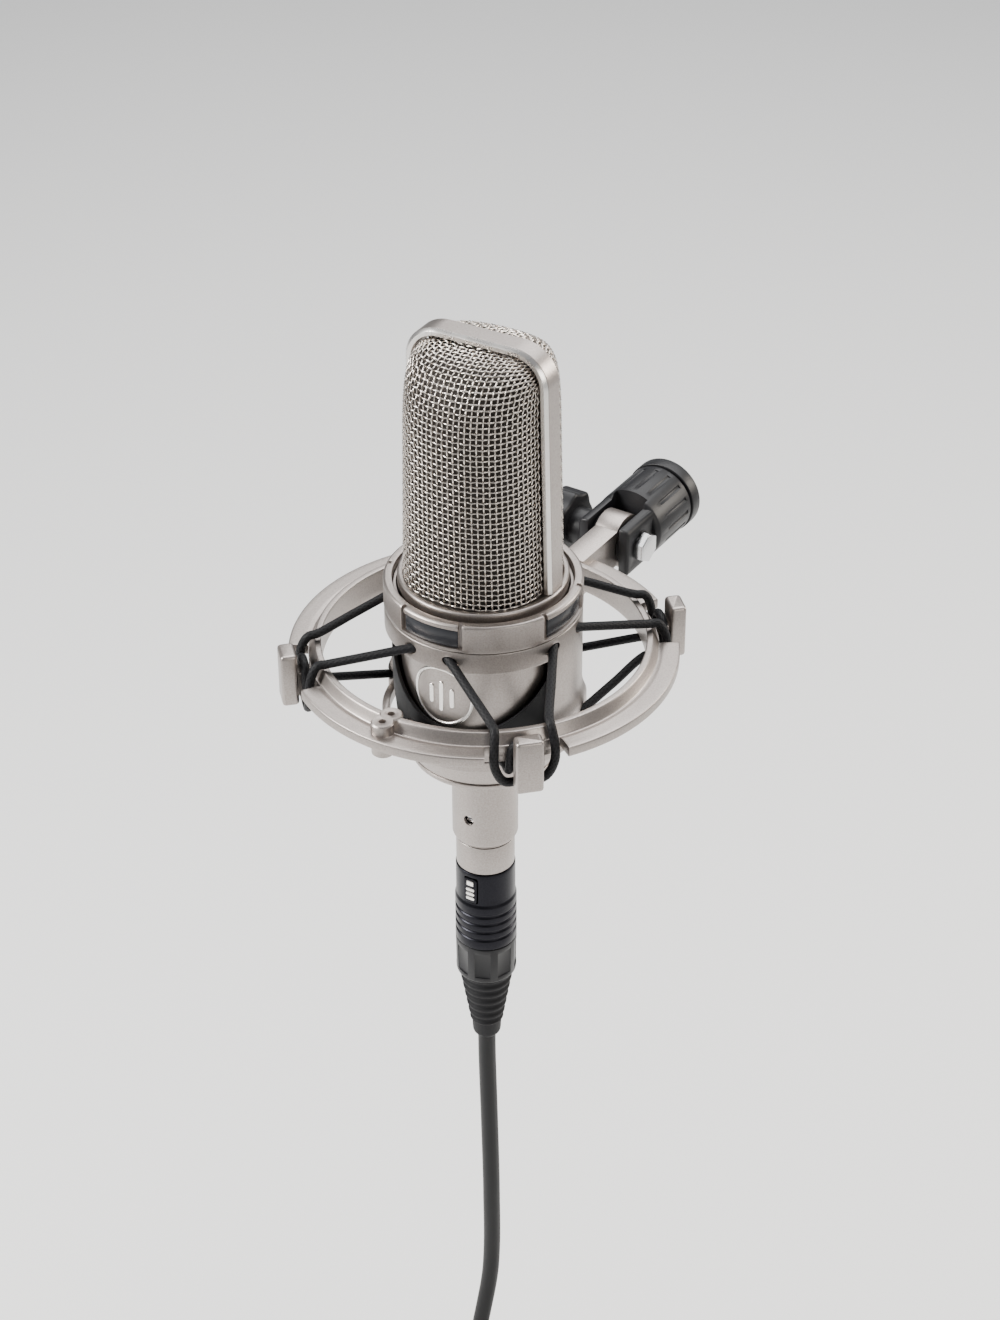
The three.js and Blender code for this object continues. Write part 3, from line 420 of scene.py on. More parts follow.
class NodeTree:
    """Builds one geometry node tree with named inputs."""

    def __init__(self, name, inputs):
        self.tree = bpy.data.node_groups.new(name, "GeometryNodeTree")
        face = self.tree.interface
        face.new_socket("Geometry", in_out="INPUT", socket_type="NodeSocketGeometry")
        for label, kind in inputs.items():
            face.new_socket(label, in_out="INPUT", socket_type=kind)
        face.new_socket("Geometry", in_out="OUTPUT", socket_type="NodeSocketGeometry")
        self.source = self.tree.nodes.new("NodeGroupInput")
        self.result = self.tree.nodes.new("NodeGroupOutput")

    def node(self, kind, inputs=None, settings=None):
        node = self.tree.nodes.new(kind)
        for key, value in (settings or {}).items():
            setattr(node, key, value)
        for key, value in (inputs or {}).items():
            if isinstance(value, bpy.types.NodeSocket):
                self.tree.links.new(value, node.inputs[key])
            else:
                node.inputs[key].default_value = value
        return node

    def finish(self, geometry, material):
        """Ends the tree in Realize Instances and Set Material."""
        real = self.node("GeometryNodeRealizeInstances", {"Geometry": geometry})
        painted = self.node("GeometryNodeSetMaterial", {"Geometry": real.outputs[0], "Material": material})
        self.tree.links.new(painted.outputs[0], self.result.inputs[0])
        return self.tree


def wire_tree():
    """Turns the edges of a mesh into round wires."""
    tree = NodeTree("Round wires", {
        "Wire radius": "NodeSocketFloat", "Sides": "NodeSocketInt", "Finish": "NodeSocketMaterial",
    })
    inputs = tree.source.outputs
    curve = tree.node("GeometryNodeMeshToCurve", {"Mesh": inputs["Geometry"]})
    ring = tree.node("GeometryNodeCurvePrimitiveCircle", {
        "Resolution": inputs["Sides"], "Radius": inputs["Wire radius"],
    })
    tube = tree.node("GeometryNodeCurveToMesh", {
        "Curve": curve.outputs["Curve"], "Profile Curve": ring.outputs["Curve"], "Fill Caps": True,
    })
    smooth = tree.node("GeometryNodeSetShadeSmooth", {"Geometry": tube.outputs["Mesh"]})
    return tree.finish(smooth.outputs[0], inputs["Finish"])


def run_tree(obj, tree, values):
    """Adds the tree to the object with its inputs set, and keeps the result as plain mesh."""
    modifier = obj.modifiers.new("make", "NODES")
    modifier.node_group = tree
    for item in tree.interface.items_tree:
        if item.in_out == "INPUT" and item.name in values:
            modifier[item.identifier] = values[item.name]
    return settle(obj)


def wires_object(name, lines, radius, sides, material, turn=0.0):
    """Round wires along polylines given in millimetres."""
    points = np.vstack(lines)
    edges, start = [], 0
    for line in lines:
        edges.extend((start + i, start + i + 1) for i in range(len(line) - 1))
        start += len(line)
    mesh = bpy.data.meshes.new(name)
    mesh.from_pydata(in_frame(turn_z(points, turn)).tolist(), edges, [])
    obj = bpy.data.objects.new(name, mesh)
    bpy.context.scene.collection.objects.link(obj)
    values = {"Wire radius": radius * MM, "Sides": sides, "Finish": material}
    return run_tree(obj, wire_tree(), values)


# ---------------------------------------------------------------- shader helpers


class Value:
    """Wraps a node's output, so that arithmetic on it adds Math nodes."""

    def __init__(self, shader, socket):
        self.shader = shader
        self.socket = socket

    def math(self, operation, first, second=0.0):
        return self.shader.node("ShaderNodeMath", {"operation": operation}, {0: first, 1: second})

    def __add__(self, other):
        return self.math("ADD", self, other)

    def __radd__(self, other):
        return self.math("ADD", other, self)

    def __sub__(self, other):
        return self.math("SUBTRACT", self, other)

    def __rsub__(self, other):
        return self.math("SUBTRACT", other, self)

    def __mul__(self, other):
        return self.math("MULTIPLY", self, other)

    def __rmul__(self, other):
        return self.math("MULTIPLY", other, self)

    def sine(self):
        return self.math("SINE", self)

    def size(self):
        return self.math("ABSOLUTE", self)

    def larger(self, other):
        return self.math("MAXIMUM", self, other)

    def output(self, index):
        """Another output of the same node."""
        return Value(self.shader, self.socket.node.outputs[index])


class Shader:
    """One material around a Principled shader."""

    def __init__(self, name, color, roughness, metallic=0.0, **uniform):
        self.material = bpy.data.materials.new(name)
        self.material.use_nodes = True
        self.tree = self.material.node_tree
        self.surface = self.tree.nodes["Principled BSDF"]
        self.color = color
        self.put("Base Color", (*color, 1.0))
        self.put("Roughness", roughness)
        self.put("Metallic", metallic)
        for key, value in uniform.items():
            self.put(key.replace("_", " "), value)

    def node(self, kind, settings=None, inputs=None, output=0):
        node = self.tree.nodes.new(kind)
        for key, value in (settings or {}).items():
            setattr(node, key, value)
        for key, value in (inputs or {}).items():
            self.join(value, node.inputs[key])
        return Value(self, node.outputs[output])

    def join(self, value, socket):
        if isinstance(value, Value):
            self.tree.links.new(value.socket, socket)
        else:
            socket.default_value = value

    def put(self, name, value):
        self.join(value, self.surface.inputs[name])

    def place(self, stretch=(1.0, 1.0, 1.0)):
        """Object coordinates, stretched for a grain that runs one way."""
        where = self.node("ShaderNodeTexCoord", output="Object")
        return self.node("ShaderNodeMapping", None, {"Vector": where, "Scale": stretch})

    def noise(self, scale, detail=2.0, roughness=0.5, stretch=(1.0, 1.0, 1.0)):
        inputs = {"Vector": self.place(stretch), "Scale": scale, "Detail": detail, "Roughness": roughness}
        return self.node("ShaderNodeTexNoise", None, inputs)

    def tint(self, amount, factor, toward):
        """The base colour drifting towards another by a varying factor."""
        mix = self.tree.nodes.new("ShaderNodeMix")
        mix.data_type = "RGBA"
        self.join(factor * amount, mix.inputs["Factor"])
        mix.inputs[6].default_value = (*self.color, 1.0)
        mix.inputs[7].default_value = (*toward, 1.0)
        self.tree.links.new(mix.outputs[2], self.surface.inputs["Base Color"])

    def bump(self, height, strength, distance):
        inputs = {"Height": height, "Strength": strength, "Distance": distance}
        self.put("Normal", self.node("ShaderNodeBump", None, inputs))


def satin_metal(name, color, roughness, grain=0.22):
    """Bead-blasted metal with a fine even grain and faint handling marks."""
    shader = Shader(name, color, roughness, 1.0)
    grit = shader.noise(2000, 3.0, 0.65)
    cloud = shader.noise(55, 3.0)
    speckle = (grit - 0.42) * 3.2 + cloud * 0.3
    shader.tint(0.6, speckle, tuple(c * 0.62 for c in color))
    shader.put("Roughness", roughness - 0.06 + 0.07 * cloud + 0.08 * grit)
    shader.bump(grit, grain, 0.00008)
    return shader.material


def polished_metal(name, color, roughness):
    shader = Shader(name, color, roughness, 1.0)
    smear = shader.noise(240, 2.0, 0.5, (1.0, 1.0, 0.15))
    shader.tint(0.4, smear, tuple(c * 0.8 for c in color))
    shader.put("Roughness", roughness - 0.04 + 0.1 * smear)
    shader.bump(shader.noise(1500, 2.0), 0.05, 0.00005)
    return shader.material


def moulded_plastic(name, color, roughness, grain_scale=2200, grain=0.2):
    """Satin moulded plastic with a fine spark-eroded texture."""
    shader = Shader(name, color, roughness, 0.0, Specular_IOR_Level=0.32)
    fine = shader.noise(grain_scale, 2.0, 0.6)
    worn = shader.noise(70, 4.0, 0.6)
    shader.tint(0.5, worn, tuple(min(1.0, c * 2.2 + 0.006) for c in color))
    shader.put("Roughness", roughness - 0.08 + 0.16 * worn)
    shader.bump(fine, grain, 0.00006)
    return shader.material


def rubber(name, color, roughness):
    shader = Shader(name, color, roughness, 0.0, Specular_IOR_Level=0.25)
    dust = shader.noise(90, 5.0, 0.65)
    shader.tint(0.7, dust, tuple(c * 1.7 + 0.002 for c in color))
    shader.put("Roughness", roughness - 0.06 + 0.14 * dust)
    shader.bump(shader.noise(1600, 3.0), 0.16, 0.00008)
    return shader.material


def braid(name, color, strands, pitch):
    """A braided cord's cover: strands that cross over and under, on the cord's own UV map."""
    shader = Shader(name, color, 0.62, 0.0, Specular_IOR_Level=0.2)
    uv = shader.node("ShaderNodeUVMap", {"uv_map": "cord"})
    parts = shader.node("ShaderNodeSeparateXYZ", None, {0: uv})
    along = parts.output(1)
    turn = parts * (2 * math.pi * strands)
    step = along * (2 * math.pi / pitch)
    left = (turn + step).sine()
    right = (turn - step).sine()
    height = left.size().larger(right.size())
    # Painted highlight and shade: over the one black colour, the crowns of the strands are painted lighter
    # and the dips between them darker.
    shader.tint(1.0, height, tuple(c * 2.5 + 0.004 for c in color))
    shader.put("Roughness", 0.72 - 0.2 * height)
    shader.bump(height, 0.7, 0.00018)
    return shader.material


def fine_mesh(name, color):
    """The dark cloth-fine screen behind the woven wire."""
    shader = Shader(name, color, 0.55, 0.3)
    parts = shader.node("ShaderNodeSeparateXYZ", None, {0: shader.place()})
    density = 7400
    across, height = parts * density, parts.output(2) * density
    weave = across.sine() * height.sine()
    shader.tint(0.9, weave.size(), tuple(c * 3.2 for c in color))
    shader.bump(weave, 0.5, 0.0001)
    return shader.material


def circuit(name, color):
    """Solder mask over copper tracks."""
    shader = Shader(name, color, 0.35, 0.0)
    tracks = shader.noise(260, 1.0, 0.2, (1.0, 1.0, 3.0))
    shader.tint(0.8, tracks, (0.05, 0.22, 0.1))
    shader.put("Roughness", 0.3 + 0.2 * tracks)
    shader.bump(tracks, 0.2, 0.00005)
    return shader.material


FINISHES = {}


def finish(name):
    """The named finish, made the first time that it is asked for."""
    colors = bpy.context.scene.mic_colors
    makers = {
        "satin": lambda: satin_metal("satin nickel", tuple(colors.nickel), 0.36),
        "satin_mount": lambda: satin_metal("satin nickel, mount", tuple(colors.mount), 0.39),
        "bright": lambda: polished_metal("polished edge", (0.9, 0.87, 0.83), 0.26),
        "wire": lambda: polished_metal("mesh wire", tuple(colors.wire), 0.24),
        "screen": lambda: fine_mesh("inner screen", (0.018, 0.014, 0.011)),
        "black": lambda: moulded_plastic("black plastic", tuple(colors.black), 0.42),
        "gloss": lambda: moulded_plastic("dark inlay", (0.014, 0.015, 0.018), 0.2, 900, 0.05),
        "plug": lambda: satin_metal("black coated metal", (0.02, 0.02, 0.024), 0.34, 0.12),
        "rubber": lambda: rubber("black rubber", tuple(colors.black), 0.62),
        "jacket": lambda: rubber("cable jacket", (0.006, 0.006, 0.0065), 0.5),
        "elastic": lambda: braid("braided elastic", (0.0025, 0.0025, 0.003), 4, 0.0042),
        "strap": lambda: braid("woven strap", (0.016, 0.016, 0.018), 9, 0.003),
        "steel": lambda: polished_metal("steel", (0.6, 0.6, 0.61), 0.24),
        "brass": lambda: polished_metal("brass", (0.72, 0.52, 0.24), 0.3),
        "gold": lambda: polished_metal("gold film", (0.88, 0.66, 0.3), 0.18),
        "board": lambda: circuit("circuit board", (0.012, 0.1, 0.045)),
    }
    if name not in FINISHES:
        FINISHES[name] = makers[name]()
    return FINISHES[name]


# ---------------------------------------------------------------- what a user may change


class MicColors(bpy.types.PropertyGroup):
    nickel: bpy.props.FloatVectorProperty(
        name="Microphone metal", description="Colour of the microphone's satin metal",
        subtype="COLOR", size=3, min=0, max=1, default=(0.41, 0.37, 0.345))
    mount: bpy.props.FloatVectorProperty(
        name="Mount metal", description="Colour of the shock mount's satin metal",
        subtype="COLOR", size=3, min=0, max=1, default=(0.41, 0.37, 0.345))
    wire: bpy.props.FloatVectorProperty(
        name="Mesh wire", description="Colour of the woven wire",
        subtype="COLOR", size=3, min=0, max=1, default=(0.62, 0.57, 0.52))
    black: bpy.props.FloatVectorProperty(
        name="Black parts", description="Colour of the moulded black parts",
        subtype="COLOR", size=3, min=0, max=1, default=(0.006, 0.006, 0.007))


class MicSizes(bpy.types.PropertyGroup):
    wire_pitch: bpy.props.FloatProperty(
        name="Mesh pitch", description="Distance between the woven wires",
        subtype="DISTANCE", unit="LENGTH", min=0.0005, default=0.00174)
    wire_diameter: bpy.props.FloatProperty(
        name="Wire diameter", description="Diameter of the woven wire",
        subtype="DISTANCE", unit="LENGTH", min=0.0001, default=0.00055)
    elastic_diameter: bpy.props.FloatProperty(
        name="Elastic diameter", description="Diameter of the suspension cords",
        subtype="DISTANCE", unit="LENGTH", min=0.001, default=0.0028)
    cable_length: bpy.props.FloatProperty(
        name="Cable length", description="Real length of the microphone cable",
        subtype="DISTANCE", unit="LENGTH", min=0.5, default=3.0)
    knob_lobes: bpy.props.IntProperty(
        name="Knob lobes", description="Number of lobes round the tightening knob", min=4, default=8)


def sizes():
    return bpy.context.scene.mic_sizes


# ---------------------------------------------------------------- head


class Head:
    """The head's outline, worked out from the frame: a U of flat band around two bulging grilles."""

    # The band: where it starts, its wall, its depth, its corners' radius and how much it narrows upwards.
    base = 2.05
    wall = 2.6
    depth = 8.4
    corner = 11.5
    narrowing = 2.1
    # A grille: where it begins to round over, where it meets the band, how far it bulges, how square
    # its upper edge and its round section are, and its clearance.
    knee = 50.0
    edge = 2.4
    bulge = 23.7
    crown = 3.2
    fullness = 2.3
    gap = 0.3

    def __init__(self):
        high = box_mm("head_frame")[1]
        self.top = high[2]
        turn = math.radians(MIC_TURN)
        self.half_bottom = (high[0] - self.depth / 2 * math.sin(turn)) / math.cos(turn)
        self.half_top = self.half_bottom - self.narrowing

    def half(self, z):
        share = (z - self.base) / (self.top - self.base)
        return self.half_bottom + (self.half_top - self.half_bottom) * share

    def outline(self, steps=20):
        """The frame's outer line from its right foot over the top to its left foot, with outward normals."""
        start = self.top - self.corner
        centre = self.half(start) - self.corner
        lean = math.atan2(self.half_bottom - self.half_top, self.top - self.base)
        straight = np.linspace(self.base, start, 14)
        points = [(self.half(z), z) for z in straight[:-1]]
        normals = [(math.cos(lean), math.sin(lean))] * len(points)
        for t in np.linspace(0, math.pi / 2, steps + 1):
            points.append((centre + self.corner * math.cos(t), start + self.corner * math.sin(t)))
            normals.append((math.cos(t), math.sin(t)))
        points, normals = np.array(points), np.array(normals)
        mirror = np.array([-1, 1])
        return np.vstack([points, points[::-1] * mirror]), np.vstack([normals, normals[::-1] * mirror])

    def ceiling(self, x, inset):
        """The height of the frame's inside at a place across the head."""
        corner = self.corner - self.wall - inset
        top = self.top - self.wall - inset - self.gap
        beyond = np.maximum(0.0, np.abs(x) - (self.half_top - self.wall - inset - corner))
        return top - corner + np.sqrt(np.maximum(0.0, corner ** 2 - np.minimum(beyond, corner) ** 2))

    def column(self, turn, inset, samples=160):
        """One line up the grille and over to the frame's top, for a direction in the round section."""
        sine, cosine = (np.sign(v) * abs(v) ** (2 / self.fullness) for v in (math.sin(turn), math.cos(turn)))
        forward = (self.bulge - inset - self.edge) * max(cosine, 0.0)
        foot = SHOULDER_TOP + self.gap
        ceiling = float(self.ceiling((self.half_top - self.wall - inset) * sine, inset))
        over = np.linspace(0, math.pi / 2, samples)
        rise = np.sin(over) ** (2 / self.crown)
        drop = np.cos(over) ** (2 / self.crown)
        z = np.concatenate([np.linspace(foot, self.knee, samples, endpoint=False),
                            self.knee + (ceiling - self.knee) * rise])
        y = np.concatenate([np.full(samples, -self.edge - forward), -self.edge - forward * drop])
        x = (self.half(z) - self.wall - inset - self.gap) * sine
        return np.stack([x, y, z], axis=1)

    def turns(self, count, inset):
        """Directions in the round section that are evenly spaced along the grille."""
        half = self.half(self.knee) - self.wall - inset - self.gap
        forward = self.bulge - inset - self.edge
        dense = np.linspace(-math.pi / 2, math.pi / 2, 4001)
        x = half * np.sign(np.sin(dense)) * np.abs(np.sin(dense)) ** (2 / self.fullness)
        y = forward * np.abs(np.cos(dense)) ** (2 / self.fullness)
        reach = lengths_along(np.stack([x, y], axis=1))
        return np.interp(np.linspace(0, reach[-1], count), reach, dense), reach[-1]

    def grid(self, rows, columns, inset):
        """Points over the bulging surface, evenly spaced along each column, and its outward normals."""
        turns, _ = self.turns(columns, inset)
        places = np.array([even(self.column(turn, inset), rows) for turn in turns]).transpose(1, 0, 2)
        return places, grid_normals(places)


def grid_normals(places):
    across = np.gradient(places, axis=1)
    up = np.gradient(places, axis=0)
    normals = np.cross(across, up)
    return normals / (np.linalg.norm(normals, axis=2)[:, :, None] + 1e-12)


SHOULDER_TOP = top_of("shoulder_ring")


def head_frame_shape(head):
    """The band: its section swept along the outline, with polished bevels and flats on both edges."""
    half = head.depth / 2
    bevel, lip, soft = 1.05, 0.12, 0.35
    section = np.array([
        (-bevel, -half), (-lip, -half + bevel * 0.9), (0, -half + bevel * 1.15),
        (0, half - bevel * 1.15), (-lip, half - bevel * 0.9), (-bevel, half),
        (-head.wall + soft, half), (-head.wall, half - soft),
        (-head.wall, -half + soft), (-head.wall + soft, -half),
    ])
    bright = {0, 4, 5, 9}
    points, normals = head.outline()
    count = len(section)
    places = []
    for (x, z), (nx, nz) in zip(points, normals):
        places.extend([x + nx * out, y, z + nz * out] for out, y in section)
    faces = bands(len(points), count)
    slots = [1 if j in bright else 0 for j in range(count)] * (len(points) - 1)
    faces.append(list(range(count)))
    faces.append([(len(points) - 1) * count + j for j in range(count)][::-1])
    return Shape(places, faces, slots + [0, 0])


def grid_shell(places, normals, wall):
    """A closed shell of a given wall over a grid of points."""
    rows, columns = places.shape[:2]
    inner = places - normals * wall
    points = np.vstack([places.reshape(-1, 3), inner.reshape(-1, 3)])
    shift = rows * columns
    faces = []
    for j in range(rows - 1):
        for i in range(columns - 1):
            a, b = j * columns + i, (j + 1) * columns + i
            faces.append([a, a + 1, b + 1, b])
            faces.append([a + shift, b + shift, b + 1 + shift, a + 1 + shift])
    rim = list(range(columns))
    rim += [j * columns + columns - 1 for j in range(1, rows)]
    rim += [(rows - 1) * columns + i for i in range(columns - 2, -1, -1)]
    rim += [j * columns for j in range(rows - 2, 0, -1)]
    for a, b in zip(rim, rim[1:] + rim[:1]):
        faces.append([a, a + shift, b + shift, b])
    return Shape(points, faces)


def woven_lines(head):
    """The centre lines of the woven wires: each dips under and over the ones that it crosses."""
    pitch = sizes().wire_pitch / MM
    lift = sizes().wire_diameter / MM * 0.5
    inset = 0.46
    _, width = head.turns(3, inset)
    columns = int(width / pitch) // 2 * 2 + 1
    turns, _ = head.turns(columns * 2 - 1, inset)
    paths = [head.column(turn, inset) for turn in turns]
    heights = [lengths_along(path)[-1] for path in paths]
    rows = int(max(heights) / pitch) + 1
    steps = rows * 2 - 1
    reach = np.arange(steps) * pitch / 2
    places = np.full((steps, len(paths), 3), np.nan)
    for i, (path, height) in enumerate(zip(paths, heights)):
        along = lengths_along(path)
        inside = reach <= height
        for axis in range(3):
            places[inside, i, axis] = np.interp(reach[inside], along, path[:, axis])
            places[~inside, i, axis] = path[-1, axis]
    normals = grid_normals(places)
    checker = (np.arange(steps)[:, None] // 2 + np.arange(len(paths))[None, :] // 2) % 2
    lifted = normals * (np.where(checker == 1, lift, -lift))[:, :, None]
    lines = []
    for j in range(0, steps, 2):
        kept = [i for i in range(len(paths)) if reach[j] <= heights[i]]
        for run in runs_of(kept):
            lines.append(np.array([places[j, i] + (0 if i % 2 else 1) * lifted[j, i] for i in run]))
    for i in range(0, len(paths), 2):
        kept = [j for j in range(steps) if reach[j] <= heights[i]]
        line = [places[j, i] - (0 if j % 2 else 1) * lifted[j, i] for j in kept]
        lines.append(np.array(line + [paths[i][-1]]))
    return lines


def runs_of(numbers):
    """Whole numbers split into unbroken runs of at least two."""
    runs = [[]]
    for number in numbers:
        if runs[-1] and number != runs[-1][-1] + 1:
            runs.append([])
        runs[-1].append(number)
    return [run for run in runs if len(run) > 1]


# ---------------------------------------------------------------- operators


class MIC_OT_head(bpy.types.Operator):
    """Makes the head's flat band frame with its polished bevels."""

    bl_idname = "mic.head"
    bl_label = "Head frame"

    def execute(self, context):
        frame = to_object("head_band", head_frame_shape(Head()), [finish("satin"), finish("bright")],
                          MIC_TURN,
                          math.radians(20))
        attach(frame, "microphone")
        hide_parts("head_frame")
        return {"FINISHED"}


class MIC_OT_grilles(bpy.types.Operator):
    """Weaves the front and rear wire grilles and sets a fine dark screen behind each."""

    bl_idname = "mic.grilles"
    bl_label = "Woven grilles"

    def execute(self, context):
        head = Head()
        lines = woven_lines(head)
        radius = sizes().wire_diameter / MM / 2
        places, normals = head.grid(40, 41, 2.0)
        for side, turn in (("front", 0), ("rear", 180)):
            mesh = wires_object(f"{side}_wire_mesh", lines, radius, 6, finish("wire"), MIC_TURN + turn)
            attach(mesh, "microphone")
            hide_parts(f"{side}_grille")
            screen = to_object(f"{side}_fine_screen", grid_shell(places, normals, 0.4), [finish("screen")],
                               MIC_TURN + turn)
            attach(screen, "microphone")
            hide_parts(f"{side}_screen")
        return {"FINISHED"}


def ridden(name, shape, finish_name, body, nodes, turn=0.0, edge=0.0):
    """A finished piece on its body, standing for its CAD nodes."""
    materials = [finish(n) for n in finish_name.split("+")]
    obj = to_object(name, shape, materials, turn)
    if edge:
        round_edges(obj, edge)
    return carried(obj, body, nodes)


def carried(obj, body, nodes):
    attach(obj, body)
    if nodes:
        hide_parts(*nodes)
    return obj


def tool(shape, turn=0.0):
    return to_object("tool", shape, [], turn)


BODY_RADIUS = radius_of("body_tube")
BODY_BOTTOM = bottom_of("body_tube")
CAP_RADIUS = radius_of("bottom_cap")
BADGE_HEIGHT = float(middle_of("badge")[2])
BADGE_RADIUS = float((box_mm("badge")[1] - box_mm("badge")[0])[2] / 2)
SWITCH_ANGLES = {"pad_switch": 39, "filter_switch": -39}


def body_profile(wall=1.8, taper=-45.0):
    """The body's outline: straight, then drawn in towards the bottom."""
    outside = []
    for t in np.linspace(0, 1, 17):
        radius = CAP_RADIUS + (BODY_RADIUS - CAP_RADIUS) * math.sin(t * math.pi / 2)
        outside.append((radius, BODY_BOTTOM + (taper - BODY_BOTTOM) * t))
    top = top_of("body_tube")
    inside = [(BODY_RADIUS - wall, top), (BODY_RADIUS - wall, taper), (CAP_RADIUS - wall, BODY_BOTTOM)]
    outside[0] = (outside[0][0] - 0.25, BODY_BOTTOM)
    outside.insert(1, (CAP_RADIUS + 0.03, BODY_BOTTOM + 0.3))
    return outside + [(BODY_RADIUS, top)] + inside


def on_body(x, z, out):
    """A point of a flat drawing wrapped round the front of the body."""
    angle = x / BODY_RADIUS
    radius = BODY_RADIUS + out
    return [radius * math.sin(angle), -radius * math.cos(angle), z]


def wrapped_disc(radius, heights, rings, segments=96):
    """A disc wrapped on the body, whose height is a function of the radius. Its raised part is bright."""
    sunk, raised = -0.6, 0.15
    points, faces = [on_body(0, BADGE_HEIGHT, heights(0))], []
    levels = list(np.linspace(0, radius, rings + 1)[1:])
    for level, out in [(level, heights(level)) for level in levels] + [(radius, sunk)]:
        for k in range(segments):
            a = 2 * math.pi * k / segments
            points.append(on_body(level * math.cos(a), BADGE_HEIGHT + level * math.sin(a), out))
    points.append(on_body(0, BADGE_HEIGHT, sunk))
    last = 1 + rings * segments
    bright = {j for j in range(rings)
              if heights(levels[j]) + heights(levels[j - 1] if j else 0) > 2 * raised}
    slots = []
    for k in range(segments):
        ahead = (k + 1) % segments
        faces.append([0, 1 + k, 1 + ahead])
        slots.append(0)
        for j in range(rings - 1):
            a, b = 1 + j * segments, 1 + (j + 1) * segments
            faces.append([a + k, b + k, b + ahead, a + ahead])
            slots.append(1 if j + 1 in bright else 0)
        outer = 1 + (rings - 1) * segments
        faces.append([outer + k, last + k, last + ahead, outer + ahead])
        faces.append([last + segments, last + ahead, last + k])
        slots += [0, 0]
    return Shape(points, faces, slots)


def wrapped_bar(centre, half_width, half_height, low, high):
    """An upright bar with round ends, raised from the badge."""
    count, lift = 24, half_height - half_width
    outline = []
    for k in range(count):
        a = 2 * math.pi * k / count
        end = lift if k < count / 2 else -lift
        outline.append((half_width * math.cos(a), half_width * math.sin(a) + end))
    layers = [(1.0, low), (1.0, high - 0.12), (0.8, high)]
    points = []
    for scale, out in layers:
        for x, z in outline:
            height = z - math.copysign(half_width * (1 - scale), z)
            points.append(on_body(centre + x * scale, BADGE_HEIGHT + height, out))
    faces = bands(len(layers), count)
    faces.append(list(range(count))[::-1])
    faces.append([(len(layers) - 1) * count + k for k in range(count)])
    return Shape(points, faces, [1] * len(faces))


